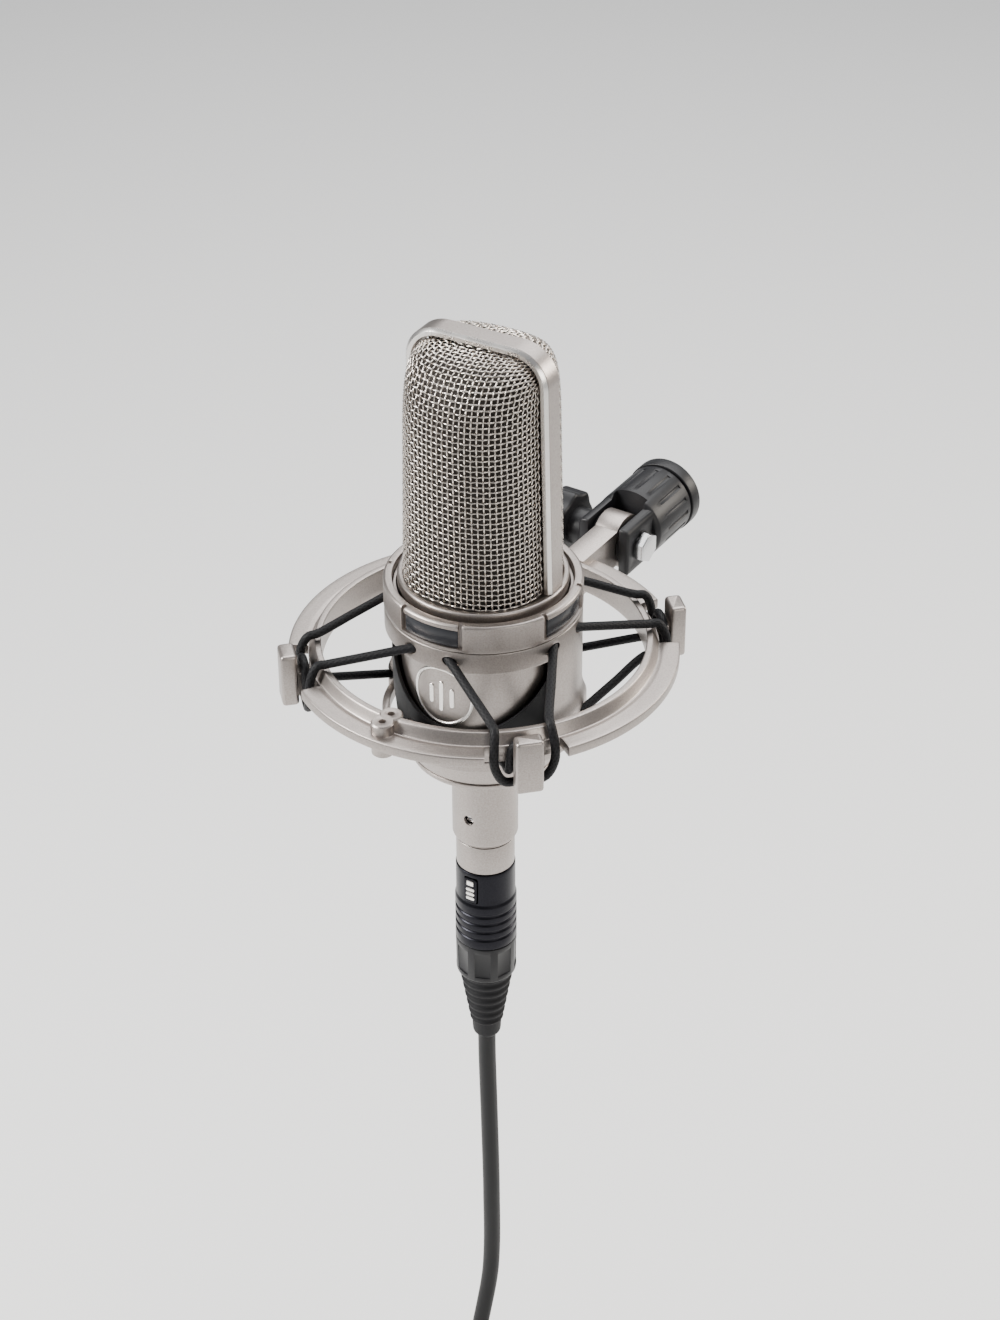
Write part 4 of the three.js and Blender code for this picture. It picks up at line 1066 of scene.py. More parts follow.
class MIC_OT_body(bpy.types.Operator):
    """Turns the shoulder ring, the body, its bottom cap, the connector stem and the connector's shell."""

    bl_idname = "mic.body"
    bl_label = "Body"

    def execute(self, context):
        self.shoulder()
        self.tube()
        self.badge()
        self.connector()
        return {"FINISHED"}

    def shoulder(self):
        radius, bottom = radius_of("shoulder_ring"), bottom_of("shoulder_ring")
        bore, spigot, step, seat = 9, BODY_RADIUS - 2.1, bottom + 1.2, SHOULDER_TOP - 0.5
        profile = fillet([
            (bore, bottom), (spigot, bottom), (spigot, step), (radius, step, 0.15),
            (radius, SHOULDER_TOP, 1.4), (BODY_RADIUS - 1.3, SHOULDER_TOP, 0.3),
            (BODY_RADIUS - 1.7, seat, 0.2), (BODY_RADIUS - 2.3, seat), (bore, seat),
        ], 5)
        ridden("shoulder", lathe(profile, 160), "satin", "microphone", ["shoulder_ring"],
               MIC_TURN)

    def tube(self):
        tube = to_object("body_shell", lathe(body_profile(), 160, 1.6), [finish("satin")], MIC_TURN)
        tools, half, gap = [], 3.5, 0.3
        for node, angle in SWITCH_ANGLES.items():
            slot = prism(rounded_box(1.8, half, 0.5), BODY_RADIUS - 5, BODY_RADIUS + 2)
            upright = along_y(slot).moved(z=top_of(node) + gap - half)
            tools.append(tool(upright.turned(angle), MIC_TURN))
        combine(tube, tools)
        round_edges(tube, 0.2)
        carried(tube, "microphone", ["body_tube"])
        face = BODY_RADIUS + 0.7
        for node, angle in SWITCH_ANGLES.items():
            shape = prism(rounded_box(1.5, 1.7, 0.3), BODY_RADIUS - 3.8, face - 0.35, 0.15)
            for place in (0, -0.75, 0.75):
                shape = shape + prism(rounded_box(1.3, 0.22, 0.1), face - 0.4, face, 0.1).moved(y=place)
            shape = along_y(shape).moved(z=middle_of(node)[2]).turned(angle)
            ridden(node + "_slider", shape, "black", node.replace("_switch", "_slider"), [node],
                   MIC_TURN)

    def badge(self):
        def height(level):
            rim = abs(level - (BADGE_RADIUS - 0.55))
            return 0.42 * max(0.0, 1 - (rim / 0.62) ** 4) - 0.04
        disc = wrapped_disc(BADGE_RADIUS - 0.02, height, 60)
        for k, tall in ((-1, 3.4), (0, 5.4), (1, 3.4)):
            disc = disc + wrapped_bar(k * 3.5, 0.75, tall, -0.1, 0.34)
        ridden("round_badge", disc, "satin+bright", "microphone", ["badge"], MIC_TURN)

    def connector(self):
        cap_top, cap_low = top_of("bottom_cap"), bottom_of("bottom_cap")
        stem = radius_of("connector_stem")
        low, shell = bottom_of("connector_stem"), radius_of("connector_shell")
        profile = fillet([
            (stem + 0.25, cap_top), (CAP_RADIUS - 0.4, cap_top, 0.1), (CAP_RADIUS, cap_top - 0.25, 0.1),
            (CAP_RADIUS, cap_low, 0.8), (stem + 0.25, cap_low, 0.2),
        ], 4)
        ridden("base_cap", lathe(profile, 144), "satin", "microphone", ["bottom_cap"],
               MIC_TURN)
        profile = fillet([
            (stem - 1.2, cap_top + 3), (stem, cap_top + 3), (stem, low + 1.5, 0.5), (stem - 1.1, low, 0.35),
            (shell - 0.2, low, 0.2), (shell - 0.4, low + 1), (stem - 1.2, low + 2),
        ], 4)
        sleeve = to_object("connector_sleeve", lathe(profile, 112, 1.2), [finish("satin")], MIC_TURN)
        height = middle_of("stem_screw")[2]
        hole = along_y(rod(1.75, -stem - 2, 0, 32)).moved(z=height)
        combine(sleeve, [tool(hole, MIC_TURN)])
        round_edges(sleeve, 0.18)
        carried(sleeve, "microphone", ["connector_stem"])
        front, back = -stem + 1.3, -stem + 3.6
        screw = lathe(fillet([(0, front), (1.45, front, 0.25), (1.45, back), (0, back)], 3), 32)
        screw = to_object("stem_grub_screw", along_y(screw).moved(z=height), [finish("steel")], MIC_TURN)
        slot = block(-2, 2, -stem - 1, -stem + 1.9, height - 0.3, height + 0.3)
        combine(screw, [tool(slot, MIC_TURN)])
        carried(screw, "microphone", ["stem_screw"])
        bottom = bottom_of("connector_shell")
        profile = fillet([
            (8.2, bottom, 0.3), (shell, bottom, 0.3), (shell, low - 0.3, 0.1), (8.2, low - 0.3),
        ], 3)
        ridden("connector_barrel", lathe(profile, 96), "satin", "microphone", ["connector_shell"],
               MIC_TURN)


LOCK_RADIUS = radius_of("lock_ring")
LOCK_BOTTOM = bottom_of("lock_ring")
CRADLE_RADIUS = 30.4
FLARE_RADIUS = radius_of("cradle")
CRADLE_BOTTOM = bottom_of("cradle")
RING_RADIUS = radius_of("outer_ring")
QUARTERS = (0, 90, 180, 270)
PANEL_HALF = 19.65
PANEL_TOP = -1.7
PANEL_BOTTOM = -8.1


class MIC_OT_lock_ring(bpy.types.Operator):
    """Turns the lock ring, cuts its four recesses and notches, and lays a dark inlay in each recess."""

    bl_idname = "mic.lock_ring"
    bl_label = "Lock ring"

    def execute(self, context):
        bore = 27.7
        profile = fillet([
            (bore, LOCK_BOTTOM), (LOCK_RADIUS, LOCK_BOTTOM, 0.35), (LOCK_RADIUS, -0.55, 0.25),
            (LOCK_RADIUS - 0.6, 0, 0.25), (bore, 0, 0.3),
        ], 3)
        ring = to_object("locking_ring", lathe(profile, 192, 1.5), [finish("satin_mount")])
        tools = []
        for centre in QUARTERS:
            tools.append(tool(sector(LOCK_RADIUS - 1.1, LOCK_RADIUS + 2, centre - PANEL_HALF,
                                     centre + PANEL_HALF,
                                     PANEL_BOTTOM, PANEL_TOP)))
            for side in (-1, 1):
                notch = block(LOCK_RADIUS - 1.7, LOCK_RADIUS + 2, -0.65, 0.65, PANEL_BOTTOM - 0.3, 1)
                tools.append(tool(notch.turned(centre + side * PANEL_HALF)))
        combine(ring, tools)
        round_edges(ring, 0.2)
        carried(ring, "cradle_lock", ["lock_ring"])
        plates = []
        for centre in QUARTERS:
            angles = np.radians(np.linspace(centre - PANEL_HALF + 1.6, centre + PANEL_HALF - 1.6, 40))
            arc = np.stack([np.cos(angles), np.sin(angles)], axis=1)
            outer, inner = arc * (LOCK_RADIUS - 0.5), arc[::-1] * (LOCK_RADIUS - 1.08)
            plates.append(prism(np.vstack([outer, inner]), PANEL_BOTTOM + 0.3, PANEL_TOP - 0.3))
        inlays = to_object("ring_inlays", sum(plates[1:], plates[0]), [finish("gloss")])
        round_edges(inlays, 0.12)
        carried(inlays, "cradle_lock", [])
        return {"FINISHED"}


ELASTIC_SPREAD = 31
UPPER_HOLE = -13.3
LOWER_HOLE = -43.6
RING_BORE = 50.0
RING_TOP = -22.3
RING_BOTTOM = -31.5
WALL_RADIUS = 54.0
NECK_TOP = -26.5
NECK_BOTTOM = -34.6
POST_RADIUS = 61.0
POST_THICK = 5.2
POST_TOP = -19
POST_BOTTOM = -37
BOSS_PLACES = (-50.4, -55.0)
BOLT_BORE = 3.3
BOLT_HEAD = 5.2
CHANNEL = (WALL_RADIUS + POST_RADIUS - POST_THICK / 2) / 2


def elastic_radius():
    return sizes().elastic_diameter / MM / 2


def cord_lead(angle, side, upper):
    """Where a cord leaves the cradle, where it crosses the outer ring, and the way between them."""
    radius = elastic_radius()
    hole = turn_z([CRADLE_RADIUS if upper else FLARE_RADIUS, 0, UPPER_HOLE if upper else LOWER_HOLE],
                  angle + side * ELASTIC_SPREAD)
    if upper:
        over = turn_z([RING_BORE + 0.5, side * 8.6, RING_TOP + radius + 0.7], angle)
    else:
        over = turn_z([RING_BORE, side * 5.2, RING_BOTTOM - radius - 1.3], angle)
    way = over - hole
    return hole, over, way / np.linalg.norm(way)


def cord_half(angle, side, upper):
    hole, over, way = cord_lead(angle, side, upper)
    radius = elastic_radius()

    def at(out, across, z):
        return turn_z([out, side * across, z], angle)

    if upper:
        return [hole - way * 3.2, (hole + over) / 2, over, at(CHANNEL - 3, 8.4, RING_TOP + radius + 0.3),
                at(CHANNEL - 0.7, 9, RING_TOP - 2.6), at(CHANNEL, 9, NECK_TOP - 5),
                at(CHANNEL, 6, NECK_BOTTOM - radius - 0.9)]
    return [hole - way * 2.6, (hole + over) / 2, over, at(CHANNEL - 1, 4.6, RING_BOTTOM - radius - 0.6),
            at(CHANNEL, 4.4, RING_BOTTOM + 1.5), at(CHANNEL, 4.2, NECK_TOP - 0.8),
            at(CHANNEL, 3.1, NECK_TOP + radius + 0.7)]


class MIC_OT_elastics(bpy.types.Operator):
    """Strings the braided elastic cords from the cradle round the ring's posts."""

    bl_idname = "mic.elastics"
    bl_label = "Elastic cords"

    def execute(self, context):
        radius = elastic_radius()
        for corner, angle in POST_ANGLES.items():
            for level in ("upper", "lower"):
                upper = level == "upper"
                middle = NECK_BOTTOM - radius - 0.8 if upper else NECK_TOP + radius + 1.6
                points = cord_half(angle, -1, upper) + [turn_z([CHANNEL, 0, middle], angle)]
                points += cord_half(angle, 1, upper)[::-1]
                path = curve_points(points, 110)
                cord = tube_object(f"{level}_elastic_{corner}", path, radius, finish("elastic"), 16)
                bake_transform(cord)
                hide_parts(f"{level}_cord_{corner}")
        return {"FINISHED"}


class MIC_OT_cradle(bpy.types.Operator):
    """Turns the cradle, cuts its windows and cord holes, and makes the black cup inside it."""

    bl_idname = "mic.cradle"
    bl_label = "Cradle"

    def execute(self, context):
        self.frame()
        self.liner()
        return {"FINISHED"}

    def frame(self):
        lip, rim_top, shelf, waist, flare, band = 26.6, -2.2, LOCK_BOTTOM - 0.3, -36.8, -40, -16.6
        upper, lower = 28.9, 29.6
        profile = fillet([
            (lip, rim_top), (27.4, rim_top), (27.4, shelf), (CRADLE_RADIUS, shelf, 0.35),
            (CRADLE_RADIUS, waist, 2.2), (FLARE_RADIUS, flare, 2.2), (FLARE_RADIUS, CRADLE_BOTTOM, 0.5),
            (lower, CRADLE_BOTTOM, 0.3), (lower, flare, 2.0), (upper, waist, 2.0), (upper, band),
            (lip, band, 0.3),
        ], 4)
        cradle = to_object("cradle_frame", lathe(profile, 192, 1.6), [finish("satin_mount")])
        # The windows: two beside the front one, which stops above the flare, and two at the back.
        near, far, front, back, low = 12, FLARE_RADIUS + 5, -90, 90, -48
        leg, leg_far, side_leg, spine = 18, 76, 118, 16
        windows = [
            (front - leg_far, front - leg, low), (front + leg, front + leg_far, low),
            (front - leg - 0.1, front + leg + 0.1, flare - 0.2),
            (front + side_leg, back - spine, low), (back + spine, front + 360 - side_leg, low),
        ]
        tools = [tool(sector(near, far, start, stop, foot, band)) for start, stop, foot in windows]
        for angle in POST_ANGLES.values():
            for side in (-1, 1):
                for upper in (True, False):
                    hole, _, way = cord_lead(angle, side, upper)
                    reach = 4.6 if upper else 4.2
                    line = even(np.array([hole - way * reach, hole + way * 3]), 4)
                    tools.append(tube_object("tool", line, 1.8, finish("satin_mount"), 24))
        combine(cradle, tools)
        round_edges(cradle, 0.28)
        carried(cradle, "microphone", ["cradle"])

    def liner(self):
        radius, top, bottom = radius_of("cradle_liner"), top_of("cradle_liner"), bottom_of("cradle_liner")
        bore, lower, bend = 26.9, 25.9, -37
        profile = fillet([
            (bore, top), (radius, top, 0.3), (radius, bend, 3), (lower + 0.7, bottom, 0.4),
            (lower - 0.7, bottom, 0.4), (bore, bend, 3),
        ], 4)
        cup = to_object("cradle_cup", lathe(profile, 160, 2.2), [finish("rubber")])
        half, drop, turn = 26, 23.5, 14.5
        angles = np.linspace(math.pi, 2 * math.pi, 41)
        outline = [(half * math.cos(a), top + drop * math.sin(a)) for a in angles]
        outline += [(half, top + 3), (-half, top + 3)]
        window = swap_yz(prism(outline, -40, -4))
        combine(cup, [tool(window.turned(turn)), tool(window.turned(turn + 180))])
        round_edges(cup, 0.25)
        carried(cup, "microphone", ["cradle_liner"])


class MIC_OT_outer_ring(bpy.types.Operator):
    """Makes the outer ring with its flange, posts, front boss and the tongue of the tilt joint."""

    bl_idname = "mic.outer_ring"
    bl_label = "Outer ring"

    def execute(self, context):
        flange_top, flange_low = -25.6, -29.0
        profile = fillet([
            (RING_BORE, RING_BOTTOM, 0.5), (RING_BORE, RING_TOP, 0.45), (RING_BORE + 1.9, RING_TOP, 0.35),
            (RING_BORE + 2.2, RING_TOP - 0.5, 0.2), (WALL_RADIUS - 0.3, flange_top - 0.4, 0.5),
            (WALL_RADIUS + 1.2, flange_top, 0.4), (RING_RADIUS, flange_top, 0.55),
            (RING_RADIUS, flange_low, 0.55),
            (WALL_RADIUS, flange_low, 0.4), (WALL_RADIUS, RING_BOTTOM, 0.5),
        ], 4)
        ring = to_object("suspension_ring", lathe(profile, 256, 2.0), [finish("satin_mount")])
        half_gap = 12.1
        tools = [tool(sector(WALL_RADIUS + 0.05, RING_RADIUS + 3, angle - half_gap, angle + half_gap, -37,
                             -17))
                 for angle in POST_ANGLES.values()]
        combine(ring, tools)
        for piece in self.boss() + self.posts() + self.tongue():
            combine(ring, [piece], "UNION")
        drills = [tool(rod(1.1, -40, -15, 24).moved(y=y)) for y in BOSS_PLACES]
        _, y, z = middle_of("pivot_bolt")
        bore = along_x(rod(BOLT_BORE, -9, 9, 32)).moved(y=y, z=z)
        combine(ring, drills + [tool(bore)])
        round_edges(ring, 0.22)
        carried(ring, "mount_ring", ["outer_ring"])
        return {"FINISHED"}

    def posts(self):
        pieces = []
        for angle in POST_ANGLES.values():
            bar = prism(rounded_box(POST_THICK / 2, 4.2, 1.3), POST_BOTTOM, POST_TOP, 1.1,
                        3).moved(x=POST_RADIUS)
            neck = block(WALL_RADIUS - 1.2, POST_RADIUS - 1, -2.3, 2.3, NECK_BOTTOM, NECK_TOP)
            pieces.append(tool(bar.turned(angle)))
            pieces.append(tool(neck.turned(angle)))
        return pieces

    def boss(self):
        low, high, edge, radius = -33.2, -22, 0.4, 3.5
        profile = [(0, low), (radius - edge, low), (radius, low + edge), (radius, high - edge),
                   (radius - edge, high), (0, high)]
        return [tool(lathe(profile, 40).moved(y=y)) for y in BOSS_PLACES]

    def tongue(self):
        y, z = box_mm("pivot_bolt")[0][1] + BOLT_HEAD, middle_of("pivot_bolt")[2]
        half, tall, radius = 4.1, 6.4, 9
        plate = block(-half, half, WALL_RADIUS - 1.5, y, z - tall, z + tall)
        disc = along_x(rod(radius, -half, half, 96)).moved(y=y, z=z)
        return [tool(plate), tool(disc)]


class MIC_OT_clamp(bpy.types.Operator):
    """Makes the swivel stand clamp: its body, thread insert, washers, bolt and knob."""

    bl_idname = "mic.clamp"
    bl_label = "Stand clamp"

    def execute(self, context):
        low, high = box_mm("clamp_body")
        self.mouth, self.front = high[1], low[1]
        self.collar = radius_of("clamp_body")
        self.z = middle_of("clamp_body")[2]
        self.y = middle_of("clamp_knob")[1]
        self.body()
        self.insert()
        self.hardware()
        self.knob()
        return {"FINISHED"}

    def body(self):
        jaws = prism(rounded_box(9.5, 8.8, 2.6), self.front, self.front + 21.5, 0.8, 3)
        radius, groove, count, spread = 12.2, 11, 16, 12.9
        start, step, collar = self.front + 15.5, self.mouth - 5.8, self.mouth - 5
        barrel = lathe(fillet([
            (0, start), (groove, start, 0.6), (radius, self.front + 16.7, 0.6),
            (radius, step, 0.3), (groove, step, 0.1), (groove, collar, 0.1),
            (self.collar, collar, 0.3), (self.collar, self.mouth, 0.7), (0, self.mouth),
        ], 3), 112)
        jaws, barrel = swap_yz(jaws).moved(z=self.z), swap_yz(barrel).moved(z=self.z)
        flute = swap_yz(rod(1.1, self.front + 22, self.mouth - 8, 12))
        flutes = []
        for k in range(count):
            angle = 2 * math.pi * k / count
            flutes.append(tool(flute.moved(spread * math.cos(angle), 0, self.z + spread * math.sin(angle))))
        clamp = to_object("stand_clamp_body", jaws, [finish("black")])
        combine(clamp, [tool(barrel)], "UNION")
        slot = block(-5.9, 5.9, self.front - 2, self.front + 18.5, self.z - 30, self.z + 30)
        bore = along_x(rod(BOLT_BORE, -20, 20, 32)).moved(y=self.y, z=self.z)
        socket = swap_yz(rod(9.9, self.mouth - 15.3, self.mouth + 2, 72)).moved(z=self.z)
        combine(clamp, [tool(slot), tool(bore), tool(socket)] + flutes)
        round_edges(clamp, 0.3)
        carried(clamp, "stand_clamp", ["clamp_body"])

    def insert(self):
        """The brass insert with its 27-to-the-inch thread."""
        radius, crest, depth, turns = radius_of("thread_insert"), 7.94, 15.0, 15
        pitch = 25.4 / 27
        profile = [(radius, self.mouth - depth), (radius, self.mouth - 0.3), (radius - 0.3, self.mouth)]
        profile.append((crest + 0.6, self.mouth))
        for k in range(turns):
            y = self.mouth - 0.6 - k * pitch
            profile += [(crest + 0.55, y), (crest, y - pitch / 2)]
        profile.append((crest, self.mouth - depth))
        shape = swap_yz(lathe(profile, 72)).moved(z=self.z)
        ridden("thread_bush", shape, "brass", "stand_clamp", ["thread_insert"])

    def hardware(self):
        for side in ("left", "right"):
            low, high = box_mm(f"friction_washer_{side}")
            profile = fillet([(3.3, low[0]), (7.4, low[0], 0.2), (7.4, high[0], 0.2), (3.3, high[0])], 2)
            shape = along_x(lathe(profile, 72)).moved(y=self.y, z=self.z)
            ridden(f"washer_{side}", shape, "rubber", "stand_clamp", [f"friction_washer_{side}"])
        low, high = box_mm("pivot_bolt")
        shank = lathe(fillet([(0, low[0]), (3, low[0], 0.4), (3, high[0] - 3.4), (0, high[0] - 3.4)], 2), 40)
        corners = np.radians(range(0, 360, 60))
        hexagon = BOLT_HEAD * np.stack([np.cos(corners), np.sin(corners)], axis=1)
        bolt = shank + prism(hexagon, high[0] - 3.2, high[0], 0.5, 3)
        bolt = bolt.swapped([2, 1, 0]).moved(y=self.y, z=self.z)
        ridden("tilt_bolt", bolt, "steel", "stand_clamp", ["pivot_bolt"])

    def knob(self):
        low, high = box_mm("clamp_knob")
        radius = (high[2] - low[2]) / 2
        lobes = sizes().knob_lobes
        angles = np.linspace(0, 2 * math.pi, lobes * 16, endpoint=False)
        reach = radius - 1.1 * (0.5 - 0.5 * np.cos(lobes * angles)) ** 0.8
        outline = np.stack([reach * np.cos(angles), reach * np.sin(angles)], axis=1)
        inner = 15.0
        grip = prism(outline, inner, -low[0], 1.3, 5)
        hub = lathe(fillet([(3.3, -high[0]), (6.4, -high[0], 0.4), (6.4, inner + 0.2), (3.3, inner + 0.2)],
                           3), 64)
        shape = (grip + hub).swapped([2, 1, 0], (-1, 1, 1)).moved(y=self.y, z=self.z)
        ridden("tightening_knob", shape, "black", "knob", ["clamp_knob"])


GROOVE_START = -125.4
GROOVE_STEP = 3.2


def groove(radius, start, way):
    """The corners of one grip groove round a plug, which runs up or down from its start."""
    steps = ((0, 0), (0.45, 0.35), (0.45, 0.95), (0, 1.3))
    return [(radius - depth, start + way * along, 0.15) for depth, along in steps]


class MIC_OT_plug(bpy.types.Operator):
    """Makes the cable plug: shell, release button, sleeve and ribbed boot."""

    bl_idname = "mic.plug"
    bl_label = "Cable plug"

    def execute(self, context):
        top, waist = top_of("plug_shell"), bottom_of("plug_shell")
        wide, bore = radius_of("plug_shell"), 8.1
        narrow = wide - 0.4
        button_top, button_low = top_of("plug_latch"), bottom_of("plug_latch")
        corners = [(bore, top), (narrow, top, 0.4), (narrow, button_low - 0.9, 0.2),
                   (wide, button_low - 1.9, 0.3)]
        for k in range(4):
            corners += groove(wide, GROOVE_START - GROOVE_STEP * k, -1)
        corners += [(wide, waist, 0.25), (bore, waist)]
        shell = to_object("plug_housing", lathe(fillet(corners, 3), 112, 1.5), [finish("plug")], MIC_TURN)
        slot = prism(rounded_box(2.5, (button_top - button_low) / 2 + 0.3, 0.9), -narrow - 2, -narrow + 1.7)
        slot = swap_yz(slot).moved(z=(button_top + button_low) / 2)
        combine(shell, [tool(slot, MIC_TURN)])
        round_edges(shell, 0.15)
        carried(shell, "plug", ["plug_shell"])
        self.button(narrow, button_top, button_low)
        self.sleeve()
        top, end = top_of("plug_boot"), bottom_of("plug_boot")
        boot = boot_shape(top, end, 7.4, 6, radius_of("plug_boot"))
        ridden("plug_strain_relief", boot, "rubber", "plug", ["plug_boot"], MIC_TURN)
        return {"FINISHED"}

    def button(self, narrow, top, low):
        middle, half = (top + low) / 2, (top - low) / 2
        shape = prism(rounded_box(2.2, half, 0.9), -narrow - 0.25, -narrow + 0.8, 0.2, 2)
        # Each raised mark's half width, half height, corner and place: a square and three ovals.
        marks = [(1.2, 0.9, 0.2, half - 1.7)]
        marks += [(1.5, 0.58, 0.5, half - 4.2 - 1.75 * k) for k in range(3)]
        for wide, tall, corner, place in marks:
            mark = prism(rounded_box(wide, tall, corner), -narrow - 0.6, -narrow, 0.15).moved(y=-place)
            mark.indices = [1] * len(mark.faces)
            shape = shape + mark
        ridden("release_button", along_y(shape).moved(z=middle), "plug+bright", "latch", ["plug_latch"],
               MIC_TURN)

    def sleeve(self):
        top, end, wide = top_of("plug_sleeve"), bottom_of("plug_sleeve"), radius_of("plug_sleeve")
        profile = fillet([(7.6, top), (wide, top, 0.25), (wide - 0.15, end, 0.8), (7.6, end)], 3)
        sleeve = to_object("plug_collar", lathe(profile, 112), [finish("black")], MIC_TURN)
        flat = block(wide - 0.55, wide + 3, -2.6, 2.6, end + 2.2, top - 2.0)
        combine(sleeve, [tool(flat.turned(22.5 + 45 * k), MIC_TURN) for k in range(8)])
        round_edges(sleeve, 0.2)
        carried(sleeve, "plug", ["plug_sleeve"])


def boot_shape(top, end, nose, ribs, wide, narrow=5.6, bore=3.1):
    """A taper with rings of rubber around it and a rounded nose, for a cable to come out of."""
    taper = top - end - nose
    corners = [(bore, top), (wide, top, 0.3)]
    for k in range(ribs):
        for share, inset in ((0.25, 0.0), (0.42, 0.75), (0.75, 0.75), (0.95, 0.0)):
            t = (k + share) / ribs
            corners.append((wide + (narrow - wide) * t - inset, top - taper * t, 0.35))
    corners += [(narrow, top - taper, 0.3), (5.0, top - taper - 0.6, 0.4), (4.7, end + 1.4, 1.2),
                (3.6, end, 0.4), (bore, end)]
    return lathe(fillet(corners, 3), 72)


COIL_TURNS_WIDE = 4
COIL_TURNS_DEEP = 3
COIL_RADIUS = 36.0
TURN_SPACING = 6.25
CABLE_RADIUS = 3.0
COIL_MIDDLE = float(middle_of("cable_coil")[2])
COIL_TOP = top_of("cable_coil")
BOOT_END = bottom_of("plug_boot")
TAIL_ACROSS = COIL_RADIUS + TURN_SPACING
TAIL_END = float(top_of("far_plug_boot"))


def cable_route():
    """The cable's centre line: down from the plug, round the coil, and out of it to the far plug."""
    down = [(0, 0, BOOT_END + 8), (0, 0, BOOT_END - 8),
            (0.6, 0.2, -222), (1.2, 0.3, -258), (0.8, 0.2, -294)]
    lanes = []
    for layer in range(COIL_TURNS_DEEP):
        order = range(COIL_TURNS_WIDE) if layer % 2 == 0 else range(COIL_TURNS_WIDE - 1, -1, -1)
        for column in order:
            lanes.append(((layer - 1) * TURN_SPACING, (column - (COIL_TURNS_WIDE - 1) / 2) * TURN_SPACING))
    entry = [(0, lanes[0][1], COIL_TOP - 1)]
    turns = []
    total = len(lanes) * 360 + 90
    crossing, easing = 0.78, 120
    for step in range(24, total + 1, 12):
        turn = step / 360
        lane = min(int(turn), len(lanes) - 1)
        share = turn - int(turn)
        blend = 0.0 if int(turn) >= len(lanes) - 1 else max(0.0, (share - crossing) / (1 - crossing))
        blend = blend * blend * (3 - 2 * blend)
        ahead = lanes[min(lane + 1, len(lanes) - 1)]
        out = lanes[lane][0] * (1 - blend) + ahead[0] * blend
        side = lanes[lane][1] * (1 - blend) + ahead[1] * blend
        if step > total - easing:
            side *= (total - step) / easing
        angle = math.radians(90 - step)
        radius = COIL_RADIUS + out
        turns.append((radius * math.cos(angle), side, COIL_MIDDLE + radius * math.sin(angle)))
    tail = [(TAIL_ACROSS, 0, z) for z in (COIL_MIDDLE - 14, COIL_MIDDLE - 32, TAIL_END - 6)]
    return down, entry, turns, tail


class MIC_OT_cable(bpy.types.Operator):
    """Lays the cable from the plug through its coil to the far plug, and straps the coil."""

    bl_idname = "mic.cable"
    bl_label = "Cable"

    def execute(self, context):
        down, entry, turns, tail = cable_route()
        path = curve_points(np.array(down + entry + turns + tail, float), 1500)
        cable = tube_object("microphone_cable", path, CABLE_RADIUS, finish("jacket"), 12)
        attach(cable, "plug")
        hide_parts("cable", "cable_coil", "cable_tail")
        pieces = self.far_plug()
        pieces.append(self.strap())
        return {"FINISHED"}

    def far_plug(self):
        wide, top, end = radius_of("far_plug_shell"), top_of("far_plug_shell"), bottom_of("far_plug_shell")
        pin_end, back = bottom_of("far_plug_insert"), top_of("far_plug_insert")
        step = back - 8
        barrel = wide - 0.6
        corners = [(8.1, end, 0.2), (barrel, end, 0.4), (barrel, step, 0.2), (wide, step, 0.3)]
        for k in range(3):
            corners += groove(wide, step + 6 + GROOVE_STEP * k, 1)
        corners += [(wide, top, 0.4), (8.1, top)]
        shell = lathe(fillet(corners, 3), 96).moved(x=TAIL_ACROSS)
        housing = ridden("far_plug_housing", shell, "plug", "plug", ["far_plug_shell"])
        boot = boot_shape(-bottom_of("far_plug_boot"), -TAIL_END, 5.0, 3, radius_of("far_plug_boot"))
        boot = boot.swapped([0, 1, 2], (1, 1, -1)).moved(x=TAIL_ACROSS)
        relief = ridden("far_strain_relief", boot, "rubber", "plug", ["far_plug_boot"])
        core = lathe(fillet([(0, step), (7.8, step, 0.3), (7.8, back), (0, back)], 3), 64)
        circle = 3.55
        for angle in np.radians([90, 210, 330]):
            pin = lathe(fillet([(0, pin_end), (1.2, pin_end, 0.9), (1.2, step + 1), (0, step + 1)], 4), 24)
            pin.indices = [1] * len(pin.faces)
            core = core + pin.moved(circle * math.cos(angle), circle * math.sin(angle))
        insert = ridden("far_plug_contacts", core.moved(x=TAIL_ACROSS), "black+gold", "plug",
                        ["far_plug_insert"])
        return [housing, relief, insert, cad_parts["plug_insert"]]

    def strap(self):
        """A strap wrapped round the coil."""
        deep = COIL_TURNS_DEEP * TURN_SPACING / 2 + 0.7
        wide = COIL_TURNS_WIDE * TURN_SPACING / 2 + 0.7
        inner = rounded_box(deep, wide, 4.2, 6)
        outer = rounded_box(deep + 1.1, wide + 1.1, 5.3, 6)
        count = len(inner)
        points, faces = [], []
        half = 5.5
        for x in (-half, half):
            points += [(x, side, COIL_RADIUS + out) for out, side in outer]
            points += [(x, side, COIL_RADIUS + out) for out, side in inner]
        for k in range(count):
            ahead = (k + 1) % count
            faces.append([k, ahead, 2 * count + ahead, 2 * count + k])
            faces.append([count + ahead, count + k, 3 * count + k, 3 * count + ahead])
            faces.append([k, count + k, count + ahead, ahead])
            faces.append([2 * count + ahead, 3 * count + ahead, 3 * count + k, 2 * count + k])
        angle = math.radians(24)
        points = np.array(points, float)
        x = points[:, 0] * math.cos(angle) + points[:, 2] * math.sin(angle)
        z = -points[:, 0] * math.sin(angle) + points[:, 2] * math.cos(angle) + COIL_MIDDLE
        shape = Shape(np.stack([x, points[:, 1], z], axis=1), faces)
        return ridden("coil_tie", shape, "black", "plug", ["coil_strap"], edge=0.3)


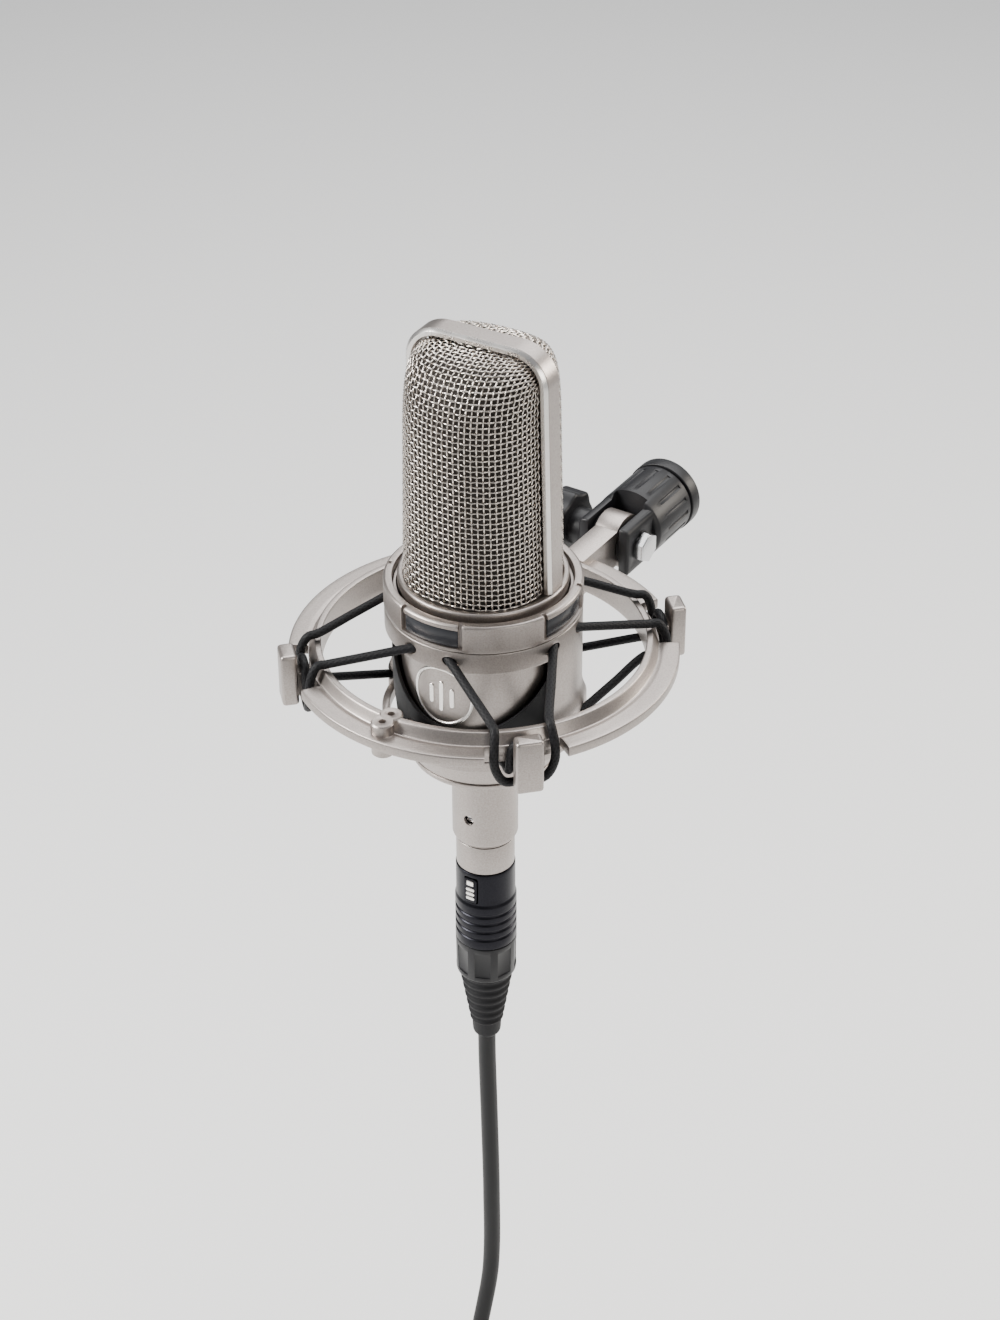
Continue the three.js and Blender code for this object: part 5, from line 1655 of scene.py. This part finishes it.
CAD_FINISHES = {
    "black": ("connector_insert", "capsule_saddle", "plug_insert"),
    "gold": ("contact_pin_1", "contact_pin_2", "contact_pin_3", "front_diaphragm", "rear_diaphragm"),
    "brass": ("capsule_backplate", "front_clamp_ring", "rear_clamp_ring"),
    "board": ("circuit_board",),
    "steel": ("chassis_rail_left", "chassis_rail_right", "transformer"),
}


class MIC_OT_inside(bpy.types.Operator):
    """Gives the capsule, electronics and contacts inside the microphone their finishes."""

    bl_idname = "mic.inside"
    bl_label = "Inside parts"

    def execute(self, context):
        for name, nodes in CAD_FINISHES.items():
            for node in nodes:
                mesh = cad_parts[node].data
                mesh.materials.clear()
                mesh.materials.append(finish(name))
        return {"FINISHED"}


class MIC_OT_stage(bpy.types.Operator):
    """Sets the camera, the soft studio light and the pale floor."""

    bl_idname = "mic.stage"
    bl_label = "Stage"

    def execute(self, context):
        self.camera(context)
        self.lights(context)
        self.floor(context)
        return {"FINISHED"}

    def camera(self, context):
        azimuth, elevation, roll = math.radians(33), math.radians(32.2), math.radians(-0.45)
        distance = 0.83
        back = Vector((math.sin(azimuth) * math.cos(elevation), -math.cos(azimuth) * math.cos(elevation),
                       math.sin(elevation)))
        data = bpy.data.cameras.new("camera")
        data.lens = 74.7
        data.sensor_width = 36
        data.shift_x = 0.0126
        data.shift_y = -0.0659
        data.clip_start = 0.01
        camera = bpy.data.objects.new("camera", data)
        context.scene.collection.objects.link(camera)
        aim = back.to_track_quat("Z", "Y").to_matrix().to_4x4()
        place = Matrix.Translation(Vector(ORIGIN) + back * distance)
        camera.matrix_world = place @ aim @ Matrix.Rotation(roll, 4, "Z")
        context.scene.camera = camera

    def lights(self, context):
        world = bpy.data.worlds.new("studio")
        world.use_nodes = True
        background = world.node_tree.nodes["Background"]
        background.inputs["Color"].default_value = (0.93, 0.95, 1.0, 1.0)
        background.inputs["Strength"].default_value = 0.26
        context.scene.world = world
        # Each soft panel's place from the microphone, its size, its power and its colour.
        panels = {
            "key": ((-0.8, -0.72, 0.6), 0.5, 30.0, (1.0, 0.985, 0.965)),
            "fill": ((1.1, -0.5, 0.35), 0.5, 4.5, (1.0, 0.95, 0.88)),
            "top": ((-0.1, 0.75, 1.6), 2.0, 64.0, (1.0, 1.0, 1.0)),
            "rim": ((0.7, 0.9, 0.3), 0.35, 9.0, (1.0, 0.93, 0.84)),
        }
        for name, (offset, size, power, color) in panels.items():
            data = bpy.data.lights.new(name, "AREA")
            data.size = size
            data.energy = power
            data.color = color
            light = bpy.data.objects.new(name, data)
            context.scene.collection.objects.link(light)
            way = Vector(offset)
            aim = way.to_track_quat("Z", "Y").to_matrix().to_4x4()
            light.matrix_world = Matrix.Translation(Vector(ORIGIN) + way) @ aim

    def floor(self, context):
        low = min(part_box(node)[0].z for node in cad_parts)
        half = 4.0
        corners = [(-half, -half, low), (half, -half, low), (half, half, low), (-half, half, low)]
        mesh = bpy.data.meshes.new("floor")
        mesh.from_pydata(corners, [], [(0, 1, 2, 3)])
        shader = Shader("pale floor", (0.93, 0.93, 0.92), 0.6)
        shader.tint(0.25, shader.noise(3.0, 2.0), (0.89, 0.89, 0.89))
        mesh.materials.append(shader.material)
        floor = bpy.data.objects.new("floor", mesh)
        context.scene.collection.objects.link(floor)


STEPS = (
    MIC_OT_stage, MIC_OT_plug, MIC_OT_cable, MIC_OT_elastics, MIC_OT_head, MIC_OT_grilles, MIC_OT_body,
    MIC_OT_lock_ring, MIC_OT_cradle, MIC_OT_outer_ring, MIC_OT_clamp, MIC_OT_inside,
)


class MIC_PT_panel(bpy.types.Panel):
    """Lists the microphone's colours, sizes and making steps."""

    bl_label = "Microphone"
    bl_space_type = "VIEW_3D"
    bl_region_type = "UI"
    bl_category = "Microphone"

    def draw(self, context):
        for group in (context.scene.mic_colors, context.scene.mic_sizes):
            for name in group.__annotations__:
                self.layout.prop(group, name)
        for step in STEPS:
            self.layout.operator(step.bl_idname)


CLASSES = (MicColors, MicSizes, *STEPS, MIC_PT_panel)


def register():
    for cls in CLASSES:
        bpy.utils.register_class(cls)
    bpy.types.Scene.mic_colors = bpy.props.PointerProperty(type=MicColors)
    bpy.types.Scene.mic_sizes = bpy.props.PointerProperty(type=MicSizes)


def unregister():
    del bpy.types.Scene.mic_sizes
    del bpy.types.Scene.mic_colors
    for cls in reversed(CLASSES):
        bpy.utils.unregister_class(cls)


def main():
    register()
    for step in STEPS:
        group, name = step.bl_idname.split(".")
        getattr(getattr(bpy.ops, group), name)()


if __name__ == "__main__":
    main()
